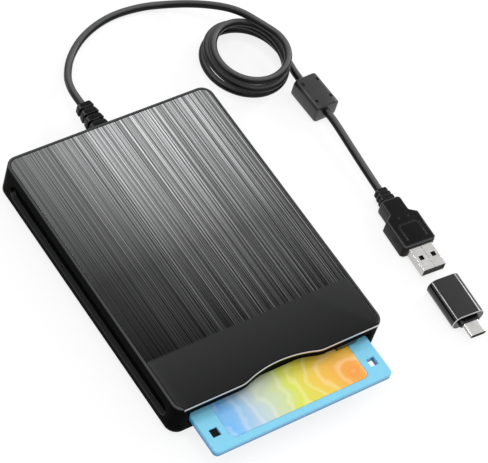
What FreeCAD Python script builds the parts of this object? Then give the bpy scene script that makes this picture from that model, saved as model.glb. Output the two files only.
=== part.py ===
import FreeCAD, Part
import math
import os
import re
import sys

import Sketcher

# An external floppy disk drive with its diskette, its USB cord and a small plug adapter.
# Millimetres. +X right, +Y to the back, +Z up. The origin is the middle of the case's
# footprint, on the surface that its rubber feet stand on. The front is at -Y.

# Driving sizes, written to the spreadsheet in this order.
SIZES = {
    # case
    "case_width": 105.0,
    "case_depth": 141.0,
    "case_height": 18.4,
    "corner_radius": 5.5,
    "foot_proud": 0.6,
    "floor_thick": 1.6,
    "parting_height": 3.4,
    "bottom_round": 1.8,
    "side_wall": 4.0,
    "back_wall": 3.0,
    "roof_thick": 1.6,
    "edge_round": 0.5,
    "groove_bottom": 5.0,
    "groove_tall": 8.2,
    "groove_deep": 2.4,
    "groove_front": 7.0,
    "groove_back": 9.0,
    "plate_thick": 0.8,
    "plate_inset": 1.15,
    "plate_gap": 0.3,
    "lip_height": 3.6,
    "lip_deep": 6.1,
    "mouth_side": 5.9,
    "wave_half": 21.5,
    "wave_deep": 3.5,
    "wave_shoulder": 14.0,
    "trim_wide": 0.5,
    "trim_setback": 0.1,
    "trim_half": 49.3,
    "boss_half": 9.5,
    "boss_deep": 1.9,
    "boss_bottom": 4.0,
    "boss_top": 14.0,
    "foot_radius": 4.0,
    "foot_in_x": 10.5,
    "foot_in_y": 12.5,
    "foot_recess": 0.6,
    "gland_radius": 3.3,
    "screw_shank": 0.8,
    "screw_head": 1.7,
    "screw_long": 7.5,
    "post_radius": 3.0,
    # bezel and button
    "sill_top": 5.5,
    "brow_bottom": 11.9,
    "brow_thick": 1.3,
    "bezel_thick": 3.8,
    "bezel_gap": 0.2,
    "button_left": 28.4,
    "button_wide": 10.6,
    "button_bottom": 12.0,
    "button_tall": 2.5,
    "button_deep": 3.8,
    "led_x": 21.0,
    "led_wide": 2.4,
    "led_tall": 1.2,
    # diskette
    "disk_wide": 90.0,
    "disk_long": 94.0,
    "disk_thick": 3.3,
    "disk_rest": 8.2,
    "disk_out": 19.7,
    "disk_corner": 2.2,
    "disk_skin": 1.0,
    "media_radius": 42.9,
    "media_thick": 0.1,
    "media_room": 43.5,
    "hub_radius": 12.4,
    "hub_back": 45.0,
    "hub_gap": 0.3,
    "liner_thick": 0.3,
    "hole_size": 4.0,
    "hole_in": 8.9,
    "label_half": 35.0,
    "label_in": 3.2,
    "label_long": 52.0,
    "label_recess": 0.2,
    "label_thick": 0.15,
    "shutter_left": 22.0,
    "shutter_wide": 32.0,
    "shutter_long": 26.0,
    "shutter_thick": 0.2,
    "shutter_travel": 14.0,
    "aperture_half": 4.5,
    "aperture_near": 19.3,
    "aperture_far": 42.3,
    # mechanism
    "disk_gap": 0.25,
    "carrier_sheet": 0.7,
    "carrier_front": 14.9,
    "carrier_back": 96.8,
    "slide_sheet": 0.6,
    "drop": 2.4,
    "eject_travel": 6.0,
    "pin_radius": 0.8,
    "pin_play": 0.15,
    "chassis_sheet": 0.8,
    "chassis_under": 3.0,
    "chassis_front": 8.5,
    "chassis_back": 12.5,
    "chassis_wall_top": 14.0,
    "spindle_y": -19.5,
    "rotor_radius": 20.5,
    "motor_hole": 22.0,
    "shaft_radius": 1.5,
    "run_gap": 0.03,
    "board_lift": 0.8,
    "board_thick": 1.0,
    "head_y": 20.0,
    "head_radius": 2.5,
    "rod_x": 14.0,
    "rod_z": 7.0,
    "rod_radius": 1.0,
    "screw_x": -21.0,
    "screw_z": 9.6,
    "lead_radius": 1.4,
    "stepper_radius": 5.6,
    "bracket_y": 26.6,
    "bracket_thick": 1.2,
    "rod_long": 31.1,
    "carriage_y": 44.0,
    "carriage_long": 12.0,
    "arm_pin_y": 52.0,
    "arm_pin_z": 12.7,
    "arm_pin_radius": 0.6,
    # cord
    "cord_diameter": 3.6,
    "cord_height": 9.0,
    "relief_end": 88.0,
    "relief_ribs": 4,
    "rib_gap": 1.2,
    "coil_top_x": 85.35,
    "coil_top_y": 80.85,
    "coil_low_x": 85.5,
    "coil_low_y": 84.3,
    "coil_top_radius": 16.1,
    "coil_low_radius": 20.5,
    "coil_shift": 1.55,
    "coil_shift_way": 141.0,
    "coil_oval": 3.3,
    "coil_start": 35.0,
    "coil_finish": -6.0,
    "coil_turns": 3,
    "coil_pitch": 4.3,
    "ferrite_wide": 12.4,
    "ferrite_tall": 10.6,
    "ferrite_long": 19.0,
    "ferrite_x": 102.7,
    "ferrite_y": 52.0,
    "ferrite_turn": 2.0,
    # plug and adapter, along the plug's own axis
    "plug_x": 100.3,
    "plug_y": -4.5,
    "plug_z": 4.3,
    "plug_turn": -3.3,
    "relief_wide": 7.0,
    "relief_long": 7.0,
    "neck_wide": 10.2,
    "neck_long": 9.0,
    "grip_wide": 17.4,
    "grip_tall": 8.4,
    "grip_long": 17.5,
    "shell_wide": 12.0,
    "shell_tall": 4.5,
    "shell_long": 12.4,
    "shell_sheet": 0.3,
    "adapter_gap": 7.0,
    "adapter_wide": 16.2,
    "adapter_tall": 8.4,
    "adapter_long": 21.5,
    "socket_gap": 0.15,
    "socket_deep": 13.2,
    "collar_long": 1.6,
    "c_wide": 8.34,
    "c_tall": 2.56,
    "c_long": 6.65,
}

doc = FreeCAD.newDocument("floppy_drive")
sheet = doc.addObject("Spreadsheet::Sheet", "sizes")
for row, (alias, number) in enumerate(SIZES.items(), start=1):
    sheet.set("A%d" % row, alias)
    sheet.set("B%d" % row, str(number))
    sheet.setAlias("B%d" % row, alias)
doc.recompute()

Vec = FreeCAD.Vector
NODES = []


def size(alias):
    """A driving size, read back from the sheet."""
    return float(getattr(sheet, alias))


def bound(text):
    """An expression in which every alias names its sheet."""
    return re.sub(r"[a-z][a-z_]+", lambda m: "sizes." + m[0] if m[0] in SIZES else m[0], str(text))


def bind(thing, prop, text):
    thing.setExpression(prop, bound(text))


def place(thing, x="0", y="0", z="0", axis=None, angle=0.0):
    """Put a thing at a bound point, turned about an axis."""
    if axis is not None:
        thing.Placement = FreeCAD.Placement(Vec(0, 0, 0), FreeCAD.Rotation(axis, angle))
    for letter, text in zip("xyz", (x, y, z)):
        bind(thing, "Placement.Base." + letter, text)
    return thing


def node(thing, label):
    """Give a finished sub-part its own label, which also names its file."""
    thing.Label = label
    NODES.append(thing)
    return thing


def box(name, x, y, z):
    """A box between two bound limits on each axis."""
    thing = doc.addObject("Part::Box", name)
    for prop, (low, high) in zip(("Length", "Width", "Height"), (x, y, z)):
        bind(thing, prop, "(%s) - (%s)" % (high, low))
    return place(thing, x[0], y[0], z[0])


TURNS = {"x": (Vec(0, 1, 0), 90.0), "y": (Vec(1, 0, 0), -90.0), "z": (Vec(0, 0, 1), 0.0)}


def rod(name, along, at, low, high, radius):
    """A cylinder along an axis, at two bound places across it, between two bound limits."""
    thing = doc.addObject("Part::Cylinder", name)
    bind(thing, "Radius", radius)
    bind(thing, "Height", "(%s) - (%s)" % (high, low))
    spot = {"x": (low, at[0], at[1]), "y": (at[0], low, at[1]), "z": (at[0], at[1], low)}[along]
    return place(thing, *spot, *TURNS[along])


def cut(name, base, tools):
    thing = doc.addObject("Part::Cut", name)
    thing.Base = base
    thing.Tool = tools[0] if len(tools) == 1 else fuse(name + "_tools", tools)
    return thing


def fuse(name, shapes):
    thing = doc.addObject("Part::MultiFuse", name)
    thing.Shapes = shapes
    return thing


def compound(name, shapes):
    thing = doc.addObject("Part::Compound", name)
    thing.Links = shapes
    return thing


def soften(name, base, radius, wanted):
    """Fillet the edges of a shape that a test picks."""
    doc.recompute()
    picked = [i for i, e in enumerate(base.Shape.Edges, start=1) if wanted(e)]
    thing = doc.addObject("Part::Fillet", name)
    thing.Base = base
    thing.Edges = [(i, radius, radius) for i in picked]
    return thing


def upright(edge):
    ends = edge.BoundBox
    return ends.ZLength > 0.01 and ends.XLength < 1e-6 and ends.YLength < 1e-6


def at_height(level):
    return lambda edge: abs(edge.BoundBox.ZMin - level) < 1e-6 and edge.BoundBox.ZLength < 1e-6


def rounded(name, x, y, z, radius):
    """A box with rounded upright corners."""
    return soften(name, box(name + "_box", x, y, z), radius, upright)


def feature(name, shape):
    thing = doc.addObject("Part::Feature", name)
    thing.Shape = shape
    return thing


def sketch(body, role, points):
    """A closed outline of bound points on one of a body's origin planes."""
    outline = body.newObject("Sketcher::SketchObject", body.Name + "_outline")
    plane = [f for f in body.Origin.OriginFeatures if f.Role == role][0]
    outline.AttachmentSupport = [(plane, "")]
    outline.MapMode = "FlatFace"
    count = len(points)
    angle = 2 * math.pi / count
    corners = [Vec(10 * math.cos(angle * i), 10 * math.sin(angle * i), 0) for i in range(count)]
    for i in range(count):
        outline.addGeometry(Part.LineSegment(corners[i], corners[(i + 1) % count]))
    for i in range(count):
        outline.addConstraint(Sketcher.Constraint("Coincident", i, 2, (i + 1) % count, 1))
    for i, (across, up) in enumerate(points):
        for kind, text in (("DistanceX", across), ("DistanceY", up)):
            number = outline.addConstraint(Sketcher.Constraint(kind, -1, 1, i, 1, 1.0))
            outline.setExpression("Constraints[%d]" % number, bound(text))
    return outline


def turned_body(name, points):
    """A body of revolution about Z, from a bound outline of radius and height."""
    body = doc.addObject("PartDesign::Body", name)
    outline = sketch(body, "XZ_Plane", points)
    turn = body.newObject("PartDesign::Revolution", name + "_turn")
    turn.Profile = outline
    turn.ReferenceAxis = (outline, ["V_Axis"])
    turn.Angle = 360
    return body


def padded_body(name, role, points, thick):
    """A body padded from a bound outline on an origin plane."""
    body = doc.addObject("PartDesign::Body", name)
    pad = body.newObject("PartDesign::Pad", name + "_pad")
    pad.Profile = sketch(body, role, points)
    bind(pad, "Length", thick)
    return body


# Levels and limits that many pieces share
HALF = "case_width / 2"
FRONT = "-case_depth / 2"
BACK = "case_depth / 2"
CAVITY = "case_width / 2 - side_wall"
CAVITY_FRONT = "-case_depth / 2 + lip_deep"
CAVITY_BACK = "case_depth / 2 - back_wall"
FLOOR_TOP = "foot_proud + floor_thick"
LEDGE = "case_height - plate_thick"
ROOF_UNDER = "case_height - plate_thick - roof_thick"
LIP_UNDER = "case_height - lip_height"
MOUTH = "case_width / 2 - mouth_side"
DISK_TOP = "disk_rest + disk_thick"
DISK_END = "-case_depth / 2 - disk_out"
DISK_LEAD = "-case_depth / 2 - disk_out + disk_long"
HUB_Y = "-case_depth / 2 - disk_out + disk_long - hub_back"
CARRIER_IN = "disk_wide / 2 + disk_gap"
CARRIER_OUT = "disk_wide / 2 + disk_gap + carrier_sheet"
SLIDE_IN = "disk_wide / 2 + 2 * disk_gap + carrier_sheet"
SLIDE_OUT = "disk_wide / 2 + 2 * disk_gap + carrier_sheet + slide_sheet"
WALL_IN = "disk_wide / 2 + 2 * disk_gap + carrier_sheet + slide_sheet + 0.3"
WALL_OUT = "disk_wide / 2 + 2 * disk_gap + carrier_sheet + slide_sheet + 0.3 + chassis_sheet"
BASE_TOP = "chassis_under + chassis_sheet"
PINS_Y = ("-case_depth / 2 + 22.5", "-case_depth / 2 + 82.5")
PIN_Z = "disk_rest + 1.7"


def both(text):
    """The span from minus a bound size to plus it."""
    return ("-(%s)" % text, text)


def side(sign, low, high):
    """A span on the right for +1, and its mirror on the left for -1."""
    return (low, high) if sign > 0 else ("-(%s)" % high, "-(%s)" % low)


def wave_edges(offset, length):
    """The front edge line: straight, two shoulders and a hollow between, moved in by offset."""
    front = -size("case_depth") / 2
    deep, half, shoulder = size("wave_deep"), size("wave_half"), size("wave_shoulder")
    hollow = (half ** 2 + deep ** 2) / (2 * deep) - shoulder
    small, large = shoulder - offset, hollow + offset
    middle = Vec(0, front + deep - hollow, 0)
    lean = math.asin(half / (shoulder + hollow))
    edges = []
    start = Vec(-length, front + offset, 0)
    for sign in (-1, 1):
        centre = Vec(sign * half, front + shoulder, 0)
        foot = centre + Vec(0, -small, 0)
        bend = centre + Vec(-sign * small * math.sin(lean / 2), -small * math.cos(lean / 2), 0)
        meet = centre + Vec(-sign * small * math.sin(lean), -small * math.cos(lean), 0)
        if sign < 0:
            edges.append(Part.LineSegment(start, foot).toShape())
            edges.append(Part.Arc(foot, bend, meet).toShape())
            far = Vec(-meet.x, meet.y, 0)
            edges.append(Part.Arc(meet, middle + Vec(0, large, 0), far).toShape())
        else:
            edges.append(Part.Arc(meet, bend, foot).toShape())
            edges.append(Part.LineSegment(foot, Vec(length, front + offset, 0)).toShape())
    return edges


def closed_prism(edges, closing, low, high):
    """A prism on a chain of edges that is closed by straight lines through more points."""
    first = edges[0].firstVertex().Point
    last = edges[-1].lastVertex().Point
    chain = [last] + closing + [first]
    lines = [Part.LineSegment(a, b).toShape() for a, b in zip(chain, chain[1:])]
    face = Part.Face(Part.Wire(edges + lines))
    face.translate(Vec(0, 0, low))
    return face.extrude(Vec(0, 0, high - low))


def ahead_of_wave(name, offset, low, high):
    """Everything in front of the wave line, as a tool."""
    reach = size("case_width")
    front = -size("case_depth") / 2 - 5
    closing = [Vec(reach, front, 0), Vec(-reach, front, 0)]
    return feature(name, closed_prism(wave_edges(offset, reach), closing, low, high))


SCREW_SPOTS = [
    ("%d * (case_width / 2 - side_wall + 0.1)" % s, "-case_depth / 2 + 4.5") for s in (-1, 1)
] + [("%d * (case_width / 2 - 8)" % s, "case_depth / 2 - back_wall - 3.9") for s in (-1, 1)]
CHASSIS_SPOTS = [("%d * 42" % s, FRONT + " + chassis_front + 3") for s in (-1, 1)]
CHASSIS_SPOTS += [("%d * 40" % s, BACK + " - chassis_back - 6") for s in (-1, 1)]
BOARD_SPOTS = [("-9", BACK + " - 8"), ("36", BACK + " - 8")]
FOOT_SPOTS = [
    ("%d * (case_width / 2 - foot_in_x)" % s, "%d * (case_depth / 2 - foot_in_y)" % t)
    for s in (-1, 1) for t in (-1, 1)
]


def upper_case():
    outer = rounded("upper_block", both(HALF), (FRONT, BACK), ("parting_height", "case_height"),
                    size("corner_radius"))
    eased = soften("upper_eased", outer, size("edge_round"), at_height(size("case_height")))
    low, high = "groove_bottom", "groove_bottom + groove_tall"
    front, back = FRONT + " + groove_front", BACK + " - groove_back"
    grooves = []
    for sign, name in ((-1, "left"), (1, "right")):
        inner, outside = side(sign, HALF + " - groove_deep", HALF + " + 1")
        grooves.append(box(name + "_groove", (inner, outside),
                           (front + " + groove_tall / 2", back + " - groove_tall / 2"), (low, high)))
        for end, spot in (("front", front + " + groove_tall / 2"), ("back", back + " - groove_tall / 2")):
            grooves.append(rod("%s_groove_%s" % (name, end), "x", (spot, "groove_bottom + groove_tall / 2"),
                               inner, outside, "groove_tall / 2"))
    grooved = cut("upper_grooved", eased, grooves)
    half = size("case_width") / 2
    mouth_edges = lambda e: (e.BoundBox.XLength < 1e-6 and abs(abs(e.BoundBox.XMin) - half) < 1e-6
                             and e.BoundBox.ZMin > size("groove_bottom") - 1e-3
                             and e.BoundBox.ZMax < size("groove_bottom") + size("groove_tall") + 1e-3)
    softened = soften("upper_soft", grooved, 0.4, mouth_edges)
    boss = rounded("rear_boss", both("boss_half"), (BACK + " - 1", BACK + " + boss_deep"),
                   ("boss_bottom", "boss_top"), 0.9)
    block = fuse("upper_with_boss", [softened, boss])
    hollow = [
        box("upper_cavity", both(CAVITY), (CAVITY_FRONT, CAVITY_BACK), ("0", ROOF_UNDER)),
        box("upper_mouth", both(MOUTH), (FRONT + " - 1", CAVITY_FRONT), ("0", LIP_UNDER)),
        box("trim_seat", both("trim_half"), (FRONT + " - 1", FRONT + " + 3"), (LEDGE, "case_height + 1")),
        rounded("plate_seat", both(HALF + " - plate_inset"), (FRONT + " + plate_inset",
                BACK + " - plate_inset"), (LEDGE, "case_height + 1"),
                size("corner_radius") - size("plate_inset")),
        ahead_of_wave("lip_wave", 0.0, size("case_height") - size("lip_height") - 1,
                      size("case_height") + 1),
        rod("relief_hole", "y", ("0", "cord_height"), CAVITY_BACK + " - 1", BACK + " + boss_deep + 1",
            "gland_radius"),
    ]
    shell = cut("upper_shell", block, hollow)
    posts = [rod("rear_post_%d" % i, "z", spot, "parting_height", ROOF_UNDER + " + 0.2", "post_radius")
             for i, spot in enumerate(SCREW_SPOTS[2:])]
    pilots = [rod("pilot_%d" % i, "z", spot, "0", "parting_height + screw_long - 2", "screw_shank")
              for i, spot in enumerate(SCREW_SPOTS)]
    node(cut("upper_case_whole", fuse("upper_posts", [shell] + posts), pilots), "upper_case")


def bottom_cover():
    block = rounded("bottom_block", both(HALF), (FRONT, BACK), ("foot_proud", "parting_height"),
                    size("corner_radius"))
    eased = soften("bottom_eased", block, size("bottom_round"), at_height(size("foot_proud")))
    pocket = box("bottom_pocket", both(CAVITY), (CAVITY_FRONT, CAVITY_BACK),
                 (FLOOR_TOP, "parting_height + 1"))
    tray = cut("bottom_tray", eased, [pocket])
    seats = [rod("chassis_seat_%d" % i, "z", spot, FLOOR_TOP + " - 0.2", "chassis_under", "post_radius")
             for i, spot in enumerate(CHASSIS_SPOTS)]
    seats += [rod("board_seat_%d" % i, "z", spot, FLOOR_TOP + " - 0.2", "boss_bottom", "post_radius - 1")
              for i, spot in enumerate(BOARD_SPOTS)]
    posts = [rod("bottom_post_%d" % i, "z", spot, FLOOR_TOP + " - 0.2", "parting_height", "post_radius")
             for i, spot in enumerate(SCREW_SPOTS[2:])]
    holes = [rod("seat_pilot_%d" % i, "z", spot, "chassis_under - 1.7", "chassis_under + 1", "screw_shank")
             for i, spot in enumerate(CHASSIS_SPOTS)]
    holes += [rod("foot_hole_%d" % i, "z", spot, "0", "foot_proud + foot_recess", "foot_radius + 0.15")
             for i, spot in enumerate(FOOT_SPOTS)]
    for i, spot in enumerate(SCREW_SPOTS):
        holes.append(rod("head_hole_%d" % i, "z", spot, "0", "foot_proud + 1.1", "screw_head + 0.15"))
        holes.append(rod("shank_hole_%d" % i, "z", spot, "0", "parting_height + 1", "screw_shank + 0.2"))
    holes.append(box("label_place", both("26"), both("17"), ("0", "foot_proud + 0.2")))
    node(cut("bottom_cover_whole", fuse("bottom_seats", [tray] + seats + posts), holes), "bottom_cover")


def feet_and_screws():
    feet = [rod("foot_%d" % i, "z", spot, "0", "foot_proud + foot_recess", "foot_radius")
            for i, spot in enumerate(FOOT_SPOTS)]
    node(compound("feet", feet), "rubber_feet")
    screws = []
    for i, spot in enumerate(SCREW_SPOTS):
        head = rod("screw_head_%d" % i, "z", spot, "foot_proud + 0.1", "foot_proud + 1.1", "screw_head")
        shank = rod("screw_shank_%d" % i, "z", spot, "foot_proud + 1.1", "foot_proud + 1.1 + screw_long - 1",
                    "screw_shank")
        bars = [box("screw_cross_%d_%d" % (i, k), ("%s - %s" % (spot[0], a), "%s + %s" % (spot[0], a)),
                    ("%s - %s" % (spot[1], b), "%s + %s" % (spot[1], b)), ("0", "foot_proud + 0.6"))
                for k, (a, b) in enumerate((("0.2", "0.9"), ("0.9", "0.2")))]
        screws.append(cut("screw_%d" % i, fuse("screw_body_%d" % i, [head, shank]), bars))
    node(compound("screws", screws), "case_screws")


def top_plate_and_trim():
    edge = "case_width / 2 - plate_inset - plate_gap"
    inset = size("plate_inset") + size("plate_gap")
    sheet_block = rounded("plate_block", both(edge), (FRONT + " + plate_inset + plate_gap",
                          BACK + " - plate_inset - plate_gap"), (LEDGE, "case_height"),
                          size("corner_radius") - inset)
    tongue = box("plate_front", both("trim_half - plate_gap"), (FRONT + " + 0.2", FRONT + " + 3"),
                 (LEDGE, "case_height"))
    behind = size("trim_setback") + size("trim_wide") + 0.15
    ahead = ahead_of_wave("plate_wave", behind, size("case_height") - 2, size("case_height") + 1)
    node(cut("plate_whole", fuse("plate_outline", [sheet_block, tongue]), [ahead]), "top_plate")
    low, high = size("case_height") - size("plate_thick"), size("case_height")
    half = size("trim_half") - 0.1
    outer = closed_prism(wave_edges(size("trim_setback"), half),
                         [Vec(half, 0, 0), Vec(-half, 0, 0)], low, high)
    inner = closed_prism(wave_edges(size("trim_setback") + size("trim_wide"), half + 1),
                         [Vec(half + 1, 1, 0), Vec(-half - 1, 1, 0)], low - 1, high + 1)
    node(feature("trim", outer.cut(inner)), "front_trim")


def bezel_and_button():
    out = MOUTH + " - bezel_gap"
    front = FRONT + " + bezel_gap"
    behind = FRONT + " + bezel_gap + bezel_thick"
    top = LIP_UNDER + " - 0.1"
    pieces = [box("sill", both(out), (front, behind), ("parting_height", "sill_top")),
              box("brow", both(out), (behind, behind + " + brow_thick"), ("brow_bottom", top))]
    for sign, name in ((-1, "left"), (1, "right")):
        across = side(sign, "disk_wide / 2 + 0.5", out)
        pieces.append(box(name + "_cheek", across, (front, behind + " + brow_thick"),
                          ("parting_height", top)))
    stem_x = ("button_left + 1", "button_left + button_wide - 1")
    stem_z = ("button_bottom + 0.4", "button_bottom + button_tall - 0.4")
    holes = [box("stem_hole", ("button_left + 0.7", "button_left + button_wide - 0.7"),
                 (front, behind + " + 3"), ("button_bottom + 0.2", "button_bottom + button_tall - 0.2")),
             box("led_hole", ("led_x", "led_x + led_wide"), (front, behind + " + 3"),
                 ("button_bottom + 0.6", "button_bottom + 0.6 + led_tall"))]
    node(cut("bezel_whole", fuse("bezel_frame", pieces), holes), "front_bezel")
    lens = [box("lens_face", ("led_x", "led_x + led_wide"), (behind + " - 0.3", behind + " + brow_thick"),
                ("button_bottom + 0.6", "button_bottom + 0.6 + led_tall")),
            box("lens_root", ("led_x - 0.6", "led_x + led_wide + 0.6"),
                (behind + " + brow_thick", behind + " + brow_thick + 2.5"),
                ("button_bottom + 0.4", "button_bottom + 0.8 + led_tall"))]
    node(fuse("lens", lens), "access_light")
    cap = box("button_cap", ("button_left", "button_left + button_wide"), (FRONT + " - 0.1",
              FRONT + " - 0.1 + button_deep"), ("button_bottom", "button_bottom + button_tall"))
    soft_cap = soften("button_soft", cap, 0.5, lambda e: e.BoundBox.YMax < -size("case_depth") / 2)
    stem = box("button_stem", stem_x,
               (FRONT + " - 0.2 + button_deep", FRONT + " + carrier_front - 2.3"), stem_z)
    node(fuse("button_whole", [soft_cap, stem]), "eject_button")


def chassis():
    front, back = FRONT + " + chassis_front", BACK + " - chassis_back"
    parts = [box("chassis_base", both(WALL_OUT), (front, back), ("chassis_under", BASE_TOP))]
    holes = [rod("motor_hole", "z", ("0", "spindle_y"), "0", BASE_TOP + " + 1", "motor_hole")]
    for sign, name in ((-1, "left"), (1, "right")):
        across = side(sign, WALL_IN, WALL_OUT)
        parts.append(box(name + "_wall", across, (front, back), (BASE_TOP + " - 0.1", "chassis_wall_top")))
        for k, pin_y in enumerate(PINS_Y):
            holes.append(box("%s_guide_%d" % (name, k), side(sign, WALL_IN + " - 0.2", WALL_OUT + " + 0.2"),
                             (pin_y + " - pin_radius - 0.2", pin_y + " + pin_radius + 0.2"),
                             (PIN_Z + " - drop - 1.1", PIN_Z + " + 1.1")))
        holes.append(box(name + "_window", side(sign, "24", "38"), ("-10", "14"), ("0", BASE_TOP + " + 1")))
    for name, y in (("near", "bracket_y"), ("far", "bracket_y + rod_long - bracket_thick")):
        for sign in (-1, 1):
            parts.append(box("%s_bracket_%d" % (name, sign + 1), side(sign, "rod_x - 3", "rod_x + 2.4"),
                             (y, y + " + bracket_thick"), (BASE_TOP + " - 0.1", "rod_z + 2.5")))
    parts.append(box("screw_bracket", ("screw_x - 3", "screw_x + 3"),
                     ("bracket_y", "bracket_y + bracket_thick"), (BASE_TOP + " - 0.1", "screw_z + 2.4")))
    for sign in (-1, 1):
        holes.append(rod("rod_hole_%d" % (sign + 1), "y", ("%d * rod_x" % sign, "rod_z"), "bracket_y - 1",
                         "bracket_y + rod_long + 1", "rod_radius"))
    holes.append(rod("screw_hole", "y", ("screw_x", "screw_z"), "bracket_y - 1", "bracket_y + 4",
                     "lead_radius - 0.5 + run_gap"))
    for i, (x, y) in enumerate((("25", "32"), ("44", "32"), ("25", "54"), ("44", "54"))):
        parts.append(rod("board_leg_%d" % i, "z", (x, y), BASE_TOP + " - 0.1",
                         BASE_TOP + " + board_lift", "1.2"))
    for i, spot in enumerate(CHASSIS_SPOTS):
        holes.append(rod("chassis_hole_%d" % i, "z", spot, "0", BASE_TOP + " + 1", "screw_shank"))
    node(cut("chassis_whole", fuse("chassis_frame", parts), holes), "drive_chassis")
    screws = []
    for i, spot in enumerate(CHASSIS_SPOTS):
        head = rod("chassis_head_%d" % i, "z", spot, BASE_TOP, BASE_TOP + " + 0.6", "screw_head")
        shank = rod("chassis_shank_%d" % i, "z", spot, "chassis_under - 1.6", BASE_TOP + " + 0.1",
                    "screw_shank")
        screws.append(fuse("chassis_screw_%d" % i, [head, shank]))
    node(compound("chassis_screw_set", screws), "chassis_screws")


def spindle():
    base = box("motor_plate", both("19"), ("spindle_y - 19", "spindle_y + 19"), ("chassis_under - 0.6",
               "chassis_under"))
    boss = rod("bearing_boss", "z", ("0", "spindle_y"), "chassis_under - 0.1", "chassis_under + 0.9", "4")
    bore = rod("bearing_bore", "z", ("0", "spindle_y"), "0", "6", "shaft_radius + run_gap")
    node(cut("motor_base", fuse("motor_base_solid", [base, boss]), [bore]), "spindle_motor_plate")
    coils = []
    for i in range(12):
        turn = math.radians(30 * i)
        spot = ("%.4f" % (12.5 * math.cos(turn)), "spindle_y + %.4f" % (12.5 * math.sin(turn)))
        coils.append(rod("stator_%d" % i, "z", spot, "chassis_under", "chassis_under + 0.8", "2.6"))
    node(compound("stator", coils), "stator_coils")
    low = "chassis_under + 1.1"
    foot, rim, top, tip = "chassis_under + 0.05", low + " + 0.8", low + " + 1.1", low + " + 1.45"
    outline = [("0", foot), ("shaft_radius", foot), ("shaft_radius", low), ("rotor_radius", low),
               ("rotor_radius", rim), ("11", rim), ("11", top), ("1.9", top), ("1.9", tip), ("0", tip)]
    disc = turned_body("rotor_disc", outline)
    place(disc, y="spindle_y")
    pin = rod("drive_pin", "z", ("8", "spindle_y"), low + " + 1", low + " + 1.4", "1")
    node(fuse("rotor", [disc, pin]), "spindle_rotor")


def head_drive():
    rods = [rod("guide_rod_%d" % i, "y", ("%d * rod_x" % s, "rod_z"), "bracket_y", "bracket_y + rod_long",
                "rod_radius") for i, s in enumerate((-1, 1))]
    node(compound("rods", rods), "guide_rods")
    can_front = "bracket_y + rod_long + 0.4"
    can_back = CAVITY_BACK + " - 0.5"
    can = rod("stepper_can", "y", ("screw_x", "screw_z"), can_front, can_back, "stepper_radius")
    neck = rod("stepper_neck", "y", ("screw_x", "screw_z"), can_front + " - 0.6", can_front + " + 1", "2.6")
    bore = rod("stepper_bore", "y", ("screw_x", "screw_z"), can_front + " - 2", can_back + " - 4",
               "lead_radius - 0.5 + run_gap")
    foot = box("stepper_foot", ("screw_x - 4", "screw_x + 4"), (can_front, can_back), (FLOOR_TOP,
               "screw_z - stepper_radius + 1.5"))
    node(cut("stepper", fuse("stepper_solid", [can, neck, foot]), [bore]), "stepper_motor")
    thread_low, thread_high = "bracket_y + bracket_thick + 0.2", can_front + " - 0.8"
    screw = [rod("lead_thread", "y", ("screw_x", "screw_z"), thread_low, thread_high, "lead_radius"),
             rod("lead_shaft", "y", ("screw_x", "screw_z"), "bracket_y + 0.1", can_back + " - 4.5",
                 "lead_radius - 0.5")]
    flat = box("lead_flat", ("screw_x + lead_radius - 0.2", "screw_x + lead_radius + 1"),
               (thread_low + " + 1", thread_low + " + 3"), ("screw_z - 2", "screw_z + 2"))
    node(cut("lead", fuse("lead_solid", screw), [flat]), "lead_screw")
    low, high = "carriage_y", "carriage_y + carriage_long"
    block = [box("carriage_block", both("rod_x + 3"), (low, high), ("rod_z - 2.2", "arm_pin_z - 1.3")),
             box("lower_arm", both("6"), ("head_y - head_radius - 0.1", low + " + 1"), (BASE_TOP + " + 0.2",
                 BASE_TOP + " + 1.6")),
             box("arm_root", both("6"), (low, low + " + 3"), (BASE_TOP + " + 0.2", "rod_z")),
             rod("lower_head", "z", ("0", "head_y"), BASE_TOP + " + 1.5", BASE_TOP + " + 1.85",
                 "head_radius"),
             box("nut_arm", ("screw_x + lead_radius + 0.3", "-rod_x - 2.9"), (low + " + 2", low + " + 8"),
                 ("screw_z - 1.2", "screw_z + 1.2"))]
    for sign in (-1, 1):
        block.append(box("pin_ear_%d" % (sign + 1), side(sign, "5.4", "7"),
                         ("arm_pin_y - 1.5", "arm_pin_y + 1.5"), ("arm_pin_z - 1.4", "arm_pin_z + 1.3")))
    bores = [rod("carriage_bore_%d" % (s + 1), "y", ("%d * rod_x" % s, "rod_z"), low + " - 1", high + " + 1",
                 "rod_radius + run_gap + 0.02") for s in (-1, 1)]
    bores.append(rod("ear_bore", "x", ("arm_pin_y", "arm_pin_z"), "-8", "8", "arm_pin_radius"))
    node(cut("carriage", fuse("carriage_solid", block), bores), "head_carriage")
    node(rod("pin_of_arm", "x", ("arm_pin_y", "arm_pin_z"), "-7.2", "7.2", "arm_pin_radius"), "arm_hinge_pin")
    arm = [box("arm_bar", both("5"), ("head_y - head_radius - 0.1", "arm_pin_y"), ("arm_pin_z - 0.2",
               "arm_pin_z + 0.9")),
           rod("arm_knuckle", "x", ("arm_pin_y", "arm_pin_z"), "-5", "5", "1.15"),
           rod("upper_head", "z", ("0", "head_y"), "arm_pin_z - 0.7", "arm_pin_z + 0.1", "head_radius")]
    hole = rod("knuckle_bore", "x", ("arm_pin_y", "arm_pin_z"), "-6", "6", "arm_pin_radius + run_gap")
    node(cut("arm", fuse("arm_solid", arm), [hole]), "upper_head_arm")


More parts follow.
